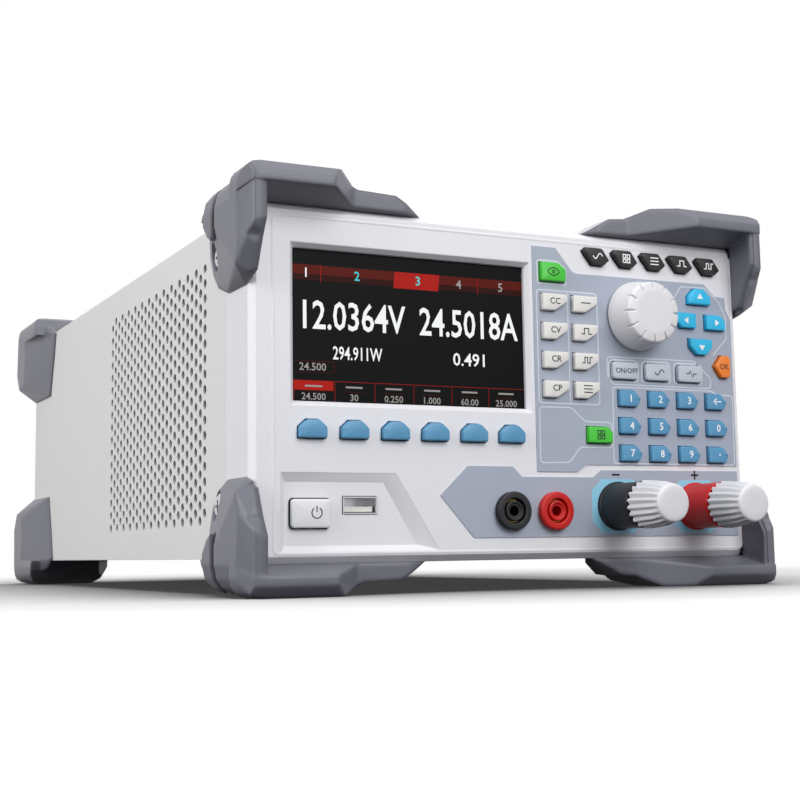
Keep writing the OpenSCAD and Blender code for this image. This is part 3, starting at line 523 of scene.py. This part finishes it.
def triangle(direction, at, size):
    """A filled arrow head that points along a direction, as one flat face."""
    d = np.array(direction, float)
    n = np.array([-d[1], d[0]])
    a = np.asarray(at)
    return [a + d * size, a - d * size * 0.45 + n * size, a - d * size * 0.45 - n * size]


def legend(what, at, look, depth, size):
    """A digit or word, a sign drawn with lines, or a filled triangle, whichever the key carries."""
    if isinstance(what, tuple):
        return [(*panel_area(triangle(what, at, size), depth), look)]
    if what.startswith("~"):
        return [(*ribbon(path, SIGN_LINE, depth), look) for path in sign(what[1:], at)]
    return [(*flat_text(what, size, at, depth), look)]


print("paths of the power sign:", len(sign("power", (0, 0))))

# %% [markdown]
# ### Caps in their places
# One function builds a cap with its legend, on the body of the key that it replaces, so it moves with that
# key's joint. The rest is a list of families and single keys.

# %% All the caps


def cap(outline, at, look, corner=0.7, top=KEY_TOP, edge=0.5, back=0.8):
    """One key cap: the family outline at its place, rounded corners, round top edge."""
    shape = rounded(np.asarray(outline, float) + at, corner)
    return (*loft(shape, edge_levels(back, top, edge)), look)


def key(name, outline, at, look, what, ink, mark_at, size, **shape):
    """Builds one cap with its legend and puts it in the place of the CAD key."""
    parts = [cap(outline, at, look, **shape)]
    if what:
        top = shape.get("top", KEY_TOP)
        parts += legend(what, (at[0] + mark_at[0], at[1] + mark_at[1]), ink, top - PRINT, size)
    return make_piece(name + "_cap", parts, name, replaced=(name,))


for i in range(6):
    key(f"soft_key_{i + 1}", SOFT, key_place(*SOFT_GRID, i), key_blue, "", None, (0, 0), 0)
for i, mark in enumerate(["~wave", "~grid", "~list", "~pulse", "~toggle"]):
    key(f"menu_key_{i + 1}", MENU, key_place(*MENU_GRID, i), key_black, mark, ink_white, (6.2, 3.4), 2.0)
for i, mark in enumerate(["CC", "CV", "CR", "CP", "~steady", "~pulse", "~toggle", "~list"]):
    spot = key_place(*MODE_GRID, i // 4, i % 4)
    key(f"mode_key_{i + 1}", MODE, spot, key_white, mark, ink_dark, (5.4, 3.7), 2.5)
for i, mark in enumerate(["ON/OFF", "~wave", "~short"]):
    key(f"load_key_{i + 1}", LOAD, key_place(*LOAD_GRID, i), key_grey, mark, ink_dark, (6.2, 3.3), 2.1,
        corner=0.4)
for i, mark in enumerate(["1", "2", "3", "~back", "4", "5", "6", "0", "7", "8", "9", "."]):
    label = {"~back": "back", ".": "dot"}.get(mark, mark)
    spot = key_place(*NUM_GRID, i % 4, i // 4)
    key(f"num_key_{label}", NUM, spot, key_blue, mark, ink_white, (4.9, 3.2), 0.8 if mark == "." else 2.9)
key("view_key", VIEW, VIEW_AT, key_green, "~eye", ink_dark, (5.2, 3.6), 2)
key("app_key", APP, (137, 42.2), key_green, "~grid", ink_dark, (5.4, 3.1), 2)
key("arrow_up", UP, (187.1, 99.5), key_cyan, (0, 1), ink_white, (5.6, 3.0), 1.5)
key("arrow_left", LEFT, (180.8, 89.6), key_cyan, (-1, 0), ink_white, (4.9, 3.0), 1.4)
key("arrow_right", RIGHT, (195.6, 89.4), key_cyan, (1, 0), ink_white, (4.9, 3.0), 1.4)
key("arrow_down", DOWN, (187.1, 78.9), key_cyan, (0, -1), ink_white, (5.6, 3.2), 1.5)
key("ok_key", OK, (199, 69.6), key_orange, "OK", ink_dark, (4.6, 4.9), 2.3)
key("power_key", POWER, (14.95, 10.4), bezel_abs, "~power", ink_dark, (9.4, 5.2), 2, top=-0.6, corner=0.5)

# %% [markdown]
# ## Turned pieces
# Knobs, jacks and post collars were turned or moulded round an axis. Their surface is a profile of
# radius and depth swept round that axis; ribs and notches are added as a change of radius or depth
# that depends on the angle. The Screw modifier sweeps a profile too, but the same one at every angle.

# %% Surfaces of revolution


def revolve(profile, centre, cols=96, swell=None, sink=None):
    """Sweeps (radius, depth) points round an axis along y through centre: x = cx - r sin a,
    z = cz + r cos a. swell(a, k) is added to the radius and sink(a, k) to the depth of profile row k,
    which runs from the panel outwards."""
    p = np.asarray(profile, float)
    a = np.linspace(0, 2 * np.pi, cols, endpoint=False)[None, :]
    k = np.arange(len(p))[:, None]
    r = np.repeat(p[:, :1], cols, 1) + (swell(a, k) if swell else 0)
    y = np.repeat(p[:, 1:2], cols, 1) + (sink(a, k) if sink else 0)
    points = np.stack([centre[0] - r * np.sin(a), y, centre[1] + r * np.cos(a)], -1).reshape(-1, 3)
    return points, ring_quads(len(p), cols).tolist()


def arc(centre_r, centre_y, radius, start, stop, steps=6):
    """Points of a round edge in the (radius, depth) plane, angles in degrees from outward to front."""
    a = np.radians(np.linspace(start, stop, steps))
    return np.stack([centre_r + radius * np.cos(a), centre_y - radius * np.sin(a)], 1)


print("points of a plain tube:", len(revolve([(1, 0), (1, -5)], (0, 0))[0]))

# %% [markdown]
# ### The menu knob
# A wide cone with a flat face. Twelve short notches cross the edge of the face and run a little way
# down the cone. They could be cut with a Boolean, but its edges would be hard; as a depth that is set for
# each row of the sweep they run out softly, as in the moulding.

# %% Menu knob
KNOB_AT = (162.1, 92.9)
NOTCHES, NOTCH_DEEP, NOTCH_RUN, NOTCH_WIDTH, NOTCH_INWARD = 12, 0.8, 3.2, 0.05, 0.8
knob_profile = np.concatenate([
    [(10.0, -0.85), (13.3, -0.85)], arc(13.35, -1.4, 0.5, -80, 10), [(13.5, -4.0), (12.9, -6.6)],
    np.stack([np.linspace(12.8, 12.1, 8), np.linspace(-7.0, -10.6, 8)], 1), arc(10.9, -11.2, 1.2, 8, 80, 8),
    np.stack([np.linspace(10.9, 8.4, 12), np.linspace(-12.42, -12.75, 12)], 1),
    [(8.0, -12.76), (5.0, -12.77), (0.01, -12.78)]])
knob_run = np.insert(np.cumsum(np.linalg.norm(np.diff(knob_profile, axis=0), axis=1)), 0, 0.0)
KNOB_EDGE = knob_run[np.argmin(np.abs(knob_profile - (11.75, -12.05)).sum(1))]


def notch(a, k):
    """Depth of the notches: full at the edge of the face, falling as 1 - (distance / run)^2 along the
    profile to each side of it, times a bell exp(-(turn / width)^2) round each of their angles."""
    along = np.clip(1 - (np.abs(knob_run[k] - KNOB_EDGE) / NOTCH_RUN) ** 2, 0, 1)
    off = (a * NOTCHES / (2 * np.pi) + 0.5) % 1 - 0.5
    return NOTCH_DEEP * along * np.exp(-(off / NOTCH_WIDTH) ** 2)


def notch_in(a, k):
    """The part of a notch that goes towards the axis, on the cone."""
    return -NOTCH_INWARD * notch(a, k)


make_piece("menu_knob", [(*revolve(knob_profile, KNOB_AT, 360, notch_in, notch), knob_abs)], "encoder_knob",
           replaced=("encoder_knob",))
print("rows of the menu knob:", len(knob_profile))

# %% [markdown]
# ### The post knobs
# Two tapered grips with twenty rounded ribs. The grooves are deep at the collar and run out before the
# flat cap. Twenty copies of a rib could be joined to a cone, but one formula keeps it one skin.

# %% Post knobs
RIBS, GROOVE_DEEP = 20, 1.25
POSTS = {"negative": (150.4, 18.0), "positive": (187.7, 18.0)}
grip_y = np.linspace(-19.2, -33.2, 22)
grip_r = np.interp(grip_y, [-33.2, -30.0, -19.2], [7.4, 8.2, 9.2])
post_profile = np.concatenate([
    [(4.2, -19.05), (8.6, -19.05)], np.stack([grip_r, grip_y], 1), arc(5.9, -34.4, 1.3, 20, 80, 6),
    [(5.0, -35.85), (2.5, -35.85), (0.01, -35.85)]])


def post_ribs(a, k):
    """Grooves between the ribs: depth times 1 - |sin(ribs a / 2)|^1.3, fading out over the last 3 mm."""
    y = post_profile[k, 1]
    fade = np.clip((y + 34.6) / 3.0, 0, 1) ** 0.7 * (post_profile[k, 0] > 6.2)
    wave = np.abs(np.sin(RIBS / 2 * a))
    return -GROOVE_DEEP * fade * (1 - wave ** 1.3)


for side, at in POSTS.items():
    make_piece(f"post_grip_{side}", [(*revolve(post_profile, at, 320, swell=post_ribs), post_abs)],
               f"post_knob_{side}", replaced=(f"post_knob_{side}",))
print("rows of a post knob:", len(post_profile))

# %% [markdown]
# ### Jacks and collars
# Each colour is one moulding family: a collar that insulates the post and a jack with a raised rim, a
# dished ring and a tube round the socket. One profile each serves both colours.

# %% Sense jacks and collars
JACKS = {"negative": (102.7, 16.15), "positive": (121.3, 16.15)}
jack_profile = np.concatenate([
    [(7.1, -0.45)], arc(6.5, -2.6, 0.7, 0, 90), [(5.3, -3.3)], arc(5.0, -2.9, 0.4, 80, 180, 4),
    [(4.4, -0.6), (4.1, -0.6)], arc(3.3, -2.4, 0.6, 0, 180, 7),
    [(2.0, -2.3), (1.95, 2.0), (1.95, 12.0), (0.01, 12.0)]])
collar_profile = np.concatenate([
    [(9.4, -0.45), (9.4, -1.3)], arc(8.9, -1.6, 0.4, 10, 60, 3), [(8.75, -2.2), (8.75, -16.8)],
    arc(8.1, -17.3, 0.7, 0, 90), [(4.2, -18.0)]])
for side, look, slot_name in (("negative", black_nylon, "terminal_black"),
                              ("positive", red_nylon, "terminal_red")):
    make_piece(f"terminals_{side}", [(*revolve(jack_profile, JACKS[side], 96), look),
                                     (*revolve(collar_profile, POSTS[side], 96), look)],
               "case", replaced=(f"{side}_terminals",))
print("rows of a jack:", len(jack_profile), "of a collar:", len(collar_profile))

# %% [markdown]
# ## Printing on the films
# Pale lines group the keys, a light blue field lies behind each post, and plus and minus mark the posts.
# All of it lies flat on the film, as ink does, in one piece.

# %% Printed panel
FILM_Y = -0.4
GROUP_LINE, SPLIT_LINE, MARK_LINE = 0.5, 0.4, 0.75
GROUPS = [
    [(116.0, 57.1), (143.6, 57.1), (143.6, 100.8), (116.0, 100.8)],
    [(115.9, 34.3), (129.0, 34.6), (133.9, 40.6), (148.6, 40.5), (148.8, 50.3), (136.3, 50.5), (130.3, 55.7),
     (116.1, 55.5)],
    [(147.4, 68.9), (149.6, 65.5), (197.6, 65.5), (197.9, 69.5), (189.9, 76.4), (147.6, 76.2)],
    [(149.2, 34.5), (208.2, 34.5), (208.6, 62.9), (200.3, 62.9), (198.3, 64.5), (149.8, 64.4)]]
ARROW_PATH = [(178.6, 98.5), (184.6, 106.6), (196.5, 106.8), (203.5, 101.5), (206.8, 95.2), (206.8, 86.5),
              (199.5, 79.2)]


def halo(outline, at, out=0.95, width=0.6):
    """A pale line that runs round a key at an even distance."""
    corners = rounded(inset(np.asarray(outline, float) + at, -out), 0.9)
    return (*ribbon(corners, width, FILM_Y - PRINT, closed=True), overlay_line)


def post_field(at, half_x=12.0, half_z=10.4, cut=4.6):
    """An eight-sided field round a post: a rectangle with its corners cut."""
    x, z = half_x - cut, half_z - cut
    corners = [(half_x, -z), (half_x, z), (x, half_z), (-x, half_z), (-half_x, z), (-half_x, -z),
               (-x, -half_z), (x, -half_z)]
    return (*panel_area(np.asarray(corners) + at, FILM_Y - 0.02), ink_blue)


prints = [(*ribbon(rounded(g, 1.6), GROUP_LINE, FILM_Y - PRINT, closed=True), overlay_line) for g in GROUPS]
prints += [(*ribbon(ARROW_PATH, GROUP_LINE, FILM_Y - PRINT), overlay_line),
           (*ribbon([(130.0, 57.6), (130.0, 100.4)], SPLIT_LINE, FILM_Y - PRINT), overlay_line),
           halo(VIEW, VIEW_AT)]
prints += [halo(LOAD, key_place(*LOAD_GRID, i)) for i in range(3)]
prints += [post_field(at) for at in POSTS.values()]
prints += [(*ribbon(path, MARK_LINE, FILM_Y - PRINT), ink_dark) for path in (
    [(148.0, 30.1), (151.6, 30.1)], [(185.9, 30.3), (189.5, 30.3)], [(187.7, 28.5), (187.7, 32.1)])]
make_piece("panel_prints", prints, "case")
print("printed shapes:", len(prints))

# %% [markdown]
# ### The sloped pocket
# On the moulding the pocket round the power key has sloped walls, widest on its slanted side. A ring of
# flat faces joins the edge of the pocket to its floor, in front of the straight walls of the solid.

# %% Pocket walls
POCKET_EDGE = [(11.3, 2.2), (72.2, 2.2), (55.3, 29.4), (11.3, 29.4)]
POCKET_FLOOR = [(12.9, 4.2), (64.0, 4.2), (50.9, 26.4), (12.9, 26.4)]
POCKET_EDGE_Y, POCKET_FLOOR_Y = -0.01, 1.57
walls = np.concatenate([np.insert(np.asarray(POCKET_EDGE), 1, POCKET_EDGE_Y, axis=1),
                        np.insert(np.asarray(POCKET_FLOOR), 1, POCKET_FLOOR_Y, axis=1)])
make_piece("pocket_walls", [(walls, ring_quads(2, 4).tolist(), bezel_abs)], "case")
print("pocket walls:", len(walls), "corners")

# %% [markdown]
# ### The rim of the front
# A low bead runs round the front a few millimetres inside its edge, where the moulding steps. Three rounded
# rectangles, one in the other and the middle one raised, give its two slopes.

# %% Front rim
RIM = np.array([(7.9, 0.9), (210.9, 0.9), (210.9, 120.9), (7.9, 120.9)])
RIM_LEVELS, RIM_CORNER = ((0, 0.0), (0.5, -0.3), (1.2, 0.0)), 2.4
rim_rows = [np.insert(rounded(inset(RIM, by), RIM_CORNER), 1, depth, axis=1) for by, depth in RIM_LEVELS]
rim_faces = ring_quads(len(rim_rows), len(rim_rows[0])).tolist()
make_piece("front_rim", [(np.concatenate(rim_rows), rim_faces, bezel_abs)], "case",
           smooth_angle=60)
print("rim points:", sum(map(len, rim_rows)))

# %% [markdown]
# ## Behind the vents
# A flat black sheet lies just behind each pierced side and makes the holes dark: it is painted shade, in
# the place of the dark inside of the case. Through such small holes only its darkness shows, so it is one
# flat face.

# %% Vent shade sheets
VENT_SPAN = [(43.0, 9.0), (43.0, 114.0), (191.0, 114.0), (191.0, 9.0)]
SHADE_SHEET_IN = 1.7
vent_shade_sheets = []
for x, turn in ((SHADE_SHEET_IN, 1), (CASE_W - SHADE_SHEET_IN, -1)):
    vent_shade_sheets.append((np.insert(np.asarray(VENT_SPAN[::turn]), 0, x, axis=1), [[0, 1, 2, 3]], vent_shade_black))
make_piece("painted_vent_shade_sheets", vent_shade_sheets, "case")
print("dust screens:", len(vent_shade_sheets))

# %% [markdown]
# ## The finger guard of the fan
# A guard of bent and welded wire covers the fan's hole in the rear wall: four rings on four legs that end
# in eyes at the fan's corners. One function carries a small circle along a flat path.

# %% Fan guard
FAN_AT, FAN_PITCH = np.array([CASE_W / 2 + 25, 45.0]), 71.5
WIRE_R, RING_R, EYE_R = 0.8, (9.0, 17.0, 25.0, 33.0), 2.7
RING_Y, LEG_Y = CASE_D + 2.3, CASE_D + 0.9


def wire(path, radius, depth, cols=10):
    """A wire along a flat path: at each point a circle of the radius, r cos b along the path's side normal
    and r sin b along the depth."""
    p = np.asarray(path, float)
    ahead = np.gradient(p, axis=0)
    ahead /= np.linalg.norm(ahead, axis=1, keepdims=True)
    side = np.stack([ahead[:, 1], -ahead[:, 0]], 1)
    b = np.linspace(0, 2 * np.pi, cols, endpoint=False)
    flat = p[:, None, :] + radius * np.cos(b)[None, :, None] * side[:, None, :]
    deep = np.broadcast_to(depth + radius * np.sin(b), flat.shape[:2])
    points = np.stack([flat[..., 0], deep, flat[..., 1]], -1).reshape(-1, 3)
    return points, ring_quads(len(p), cols).tolist()


def circle(centre, radius, steps=73):
    """Points of a full turn round a centre."""
    a = np.linspace(0, 2 * np.pi, steps)
    return np.stack([centre[0] + radius * np.cos(a), centre[1] + radius * np.sin(a)], 1)


guard = [(*wire(circle(FAN_AT, r), WIRE_R, RING_Y), screw_chrome) for r in RING_R]
for turn in ((1, 1), (-1, 1), (-1, -1), (1, -1)):
    corner = FAN_AT + FAN_PITCH / 2 * np.array(turn)
    leg = np.linspace(FAN_AT + 5.5 * np.array(turn), corner - 1.9 * np.array(turn), 8)
    guard += [(*wire(leg, WIRE_R, LEG_Y), screw_chrome),
              (*wire(circle(corner, EYE_R, 25), WIRE_R, LEG_Y), screw_chrome)]
make_piece("fan_guard", guard, "case")
print("guard wires:", len(guard))

# %% [markdown]
# ## The display
# Behind the cover glass a colour panel shows two large readings, two smaller ones, a bar of tabs and a
# row of value cells. It could be one picture, but flat, lit shapes stay sharp. They lie in layers a few
# hundredths of a millimetre apart, in front of the dark glass.

# %% Lit colours
LCD_X, LCD_Z, LCD_W, LCD_H, LCD_Y = 16.6, 54.7, 95.0, 54.75, 3.2
LAYER = 0.04


def glow(name, colour, strength):
    """A lit part of the display: its own light on a dark surface under an antireflection film."""
    made = bpy.data.materials.new(name)
    made.use_nodes = True
    tree = made.node_tree
    tree.nodes.clear()
    shader = add(tree, "ShaderNodeBsdfPrincipled", {
        "Base Color": srgb("#020203"), "Roughness": 0.45, "Specular IOR Level": 0.06,
        "Emission Color": srgb(colour), "Emission Strength": strength})
    add(tree, "ShaderNodeOutputMaterial", {"Surface": (shader, "BSDF")})
    return made


glow_white = glow("lcd_white", "#F4F6F6", 1.0)
glow_grey = glow("lcd_grey", "#A9A4A2", 0.8)
glow_cyan = glow("lcd_cyan", "#4FD6DC", 0.9)
glow_maroon = glow("lcd_maroon", "#5A1408", 0.9)
glow_red = glow("lcd_red", "#A81A10", 1.0)
glow_deep = glow("lcd_deep_red", "#330B05", 0.8)
glow_black = glow("lcd_black", "#0B0C0C", 0.6)
print("finishes in all:", len(bpy.data.materials))

# %% [markdown]
# ### The page
# Places on the page are shares of its width and height, from the left and from the top, so the page can
# be laid out without thinking of the panel. The numbers are made up.

# %% Display page


def on_screen(u, v):
    """Share of the screen from its left and from its top, as panel millimetres."""
    return (LCD_X + LCD_W * u, LCD_Z + LCD_H * (1 - v))


def screen_box(u0, u1, v0, v1, look, layer=1, slant=0.0):
    """A lit box on the screen between shares of its width and height, with slanted ends if asked."""
    corners = [on_screen(u0 - slant, v1), on_screen(u1 - slant, v1), on_screen(u1, v0), on_screen(u0, v0)]
    return (*panel_area(corners, LCD_Y - LAYER * layer), look)


def screen_text(words, height, u, v, look, width=None, layer=3):
    """Lit figures centred at a share of the screen, with a height and perhaps a width in millimetres."""
    return (*flat_text(words, height, on_screen(u, v), LCD_Y - LAYER * layer, width), look)


page = [screen_box(0.0, 1.0, 0.0, 1.0, glow_black, layer=0.5)]
page += [screen_box(0.002, 0.998, 0.103, 0.205, glow_maroon),
         screen_box(0.002, 0.998, 0.165, 0.205, glow_deep, 2),
         screen_box(0.43, 0.625, 0.103, 0.215, glow_red, 2.2, slant=0.006)]
page += [screen_box(u - 0.001, u + 0.001, 0.103, 0.215, glow_red, 2.5) for u in (0.12, 0.795)]
page += [screen_text("12.0364V", 10.6, 0.26, 0.43, glow_white, width=40.5),
         screen_text("24.5018A", 10.6, 0.755, 0.43, glow_white, width=42.0),
         screen_text("294.911W", 4.9, 0.27, 0.675, glow_white, width=19.5),
         screen_text("0.491", 4.9, 0.75, 0.675, glow_white, width=16.0)]
page += [screen_text("1", 3.4, 0.06, 0.155, glow_white), screen_text("2", 3.4, 0.27, 0.155, glow_cyan),
         screen_text("3", 3.4, 0.53, 0.155, glow_cyan), screen_text("4", 3.4, 0.71, 0.155, glow_grey),
         screen_text("5", 3.4, 0.90, 0.155, glow_grey)]
CELLS = ["24.500", "30", "0.250", "1.000", "60.00", "25.000"]
for i, value in enumerate(CELLS):
    u0, u1 = 0.008 + i * 0.1655, 0.168 + i * 0.1655
    page += [screen_box(u0, u1, 0.862, 0.865, glow_red, 2),
             screen_box(u0, u0 + 0.0015, 0.862, 0.99, glow_red, 2)]
    page += [screen_box(u0 + 0.035, u1 - 0.035, 0.928, 0.930, glow_maroon, 2),
             screen_text(value, 2.5, (u0 + u1) / 2, 0.965, glow_grey)]
    page += [screen_box((u0 + u1) / 2 - 0.035, (u0 + u1) / 2 + 0.035, 0.892, 0.904, glow_grey, 2.4)]
page += [screen_box(0.008, 0.168, 0.862, 0.925, glow_red, 1.8),
         screen_box(0.0, 0.172, 0.735, 0.738, glow_maroon, 2),
         screen_box(0.17, 0.172, 0.735, 0.81, glow_maroon, 2),
         screen_box(0.0, 0.172, 0.808, 0.81, glow_maroon, 2),
         screen_text("24.500", 2.8, 0.085, 0.772, glow_grey)]
make_piece("display_page", page, "case")
print("display parts:", len(page))

# %% [markdown]
# ## Stage and light
# A pale floor and soft light from above and from the front. Near the part the floor keeps its cast shadow,
# and its colour is also darkened by ambient occlusion, a painted contact shadow; further out it fades to
# white, so that no horizon shows behind it.

# %% Floor


def background_rays(tree):
    """1 for the rays that show the background itself: from the camera, off a mirror or through glass."""
    path = add(tree, "ShaderNodeLightPath")
    mirrored = add(tree, "ShaderNodeMath", {0: (path, "Is Camera Ray"), 1: (path, "Is Glossy Ray")},
                   operation="MAXIMUM")
    return add(tree, "ShaderNodeMath", {0: (mirrored, "Value"), 1: (path, "Is Transmission Ray")},
               operation="MAXIMUM")


REACH = 6.0
floor_mesh = bpy.data.meshes.new("studio_floor")
floor_mesh.from_pydata([(-REACH, -REACH, 0), (REACH, -REACH, 0), (REACH, REACH, 0), (-REACH, REACH, 0)],
                       [], [(0, 1, 2, 3)])
floor = bpy.data.objects.new("studio_floor", floor_mesh)
bpy.context.scene.collection.objects.link(floor)
paper = bpy.data.materials.new("studio_paper")
paper.use_nodes = True
tree = paper.node_tree
tree.nodes.clear()
place = add(tree, "ShaderNodeTexCoord")
away = add(tree, "ShaderNodeVectorMath", {0: (place, "Object")}, operation="LENGTH")
fade = add(tree, "ShaderNodeMapRange", {"Value": (away, "Value"), "From Min": 0.26, "From Max": 0.55,
                                        "To Min": 0.05, "To Max": 1.0}, interpolation_type="SMOOTHSTEP")
# Painted contact shadow: ambient occlusion darkens the floor's colour near the part, on top of its cast
# shadow.
painted_shadow_occlusion = add(tree, "ShaderNodeAmbientOcclusion", {"Distance": 0.16}, samples=8)
shade = add(tree, "ShaderNodeMapRange", {"Value": (painted_shadow_occlusion, "AO"), "From Min": 0.3, "From Max": 1.0,
                                         "To Min": 0.03, "To Max": 0.85})
matte = add(tree, "ShaderNodeBsdfDiffuse", {"Color": (shade, "Result")})
white = add(tree, "ShaderNodeEmission", {"Color": srgb("#FFFFFF"), "Strength": 1.0})
sheet = add(tree, "ShaderNodeMixShader", {0: (fade, "Result"), 1: (matte, "BSDF"), 2: (white, "Emission")})
dim = add(tree, "ShaderNodeBsdfDiffuse", {"Color": srgb("#48484A")})
both = add(tree, "ShaderNodeMixShader", {0: (background_rays(tree), "Value"), 1: (dim, "BSDF"),
                                         2: (sheet, "Shader")})
add(tree, "ShaderNodeOutputMaterial", {"Surface": (both, "Shader")})
floor_mesh.materials.append(paper)
print("floor reaches", REACH, "m to each side")

# %% [markdown]
# ### The world
# The camera sees plain white, as in the photo. For all other rays the world is dimmer, because a pale case
# in even white light would lose its shades.

# %% World
world = bpy.data.worlds.new("studio_world")
bpy.context.scene.world = world
world.use_nodes = True
tree = world.node_tree
tree.nodes.clear()
level = add(tree, "ShaderNodeMapRange", {"Value": (background_rays(tree), "Value"), "To Min": 0.36,
                                         "To Max": 1.0})
sky = add(tree, "ShaderNodeBackground", {"Color": srgb("#FFFFFF"), "Strength": (level, "Result")})
add(tree, "ShaderNodeOutputWorld", {"Surface": (sky, "Background")})
print("world light:", level.inputs["To Min"].default_value)

# %% [markdown]
# ### Softboxes
# Four large lamps stand above, in front, on the left and behind on the right. Large lamps give soft
# shadows, and weak ones keep the pale surfaces below plain white.

# %% Softboxes


def softbox(name, at, towards, size, power):
    """A square area lamp at a place in metres that looks at a point."""
    lamp = bpy.data.lights.new(name, "AREA")
    lamp.shape = "SQUARE"
    lamp.size = size
    lamp.energy = power
    held = bpy.data.objects.new(name, lamp)
    back = np.array(at, float) - np.array(towards, float)
    back /= np.linalg.norm(back)
    side = np.cross((0.0, 1.0, 0.0) if abs(back[2]) > 0.9 else (0.0, 0.0, 1.0), back)
    side /= np.linalg.norm(side)
    stand = np.eye(4)
    stand[:3, :3] = np.stack([side, np.cross(back, side), back], axis=1)
    stand[:3, 3] = at
    held.matrix_world = Matrix(stand.tolist())
    bpy.context.scene.collection.objects.link(held)


softbox("top_box", (0.0, -0.3, 1.5), (0, 0, 0), 1.4, 5)
softbox("front_box", (0.15, -1.1, 0.66), (0, -0.15, 0.1), 0.7, 9.2)
softbox("left_box", (-1.2, -0.3, 0.55), (-0.1, 0.0, 0.1), 0.8, 11)
softbox("rear_box", (0.9, 1.3, 0.8), (0, 0.15, 0.1), 1.0, 8)
print("lamps:", len(bpy.data.lights))
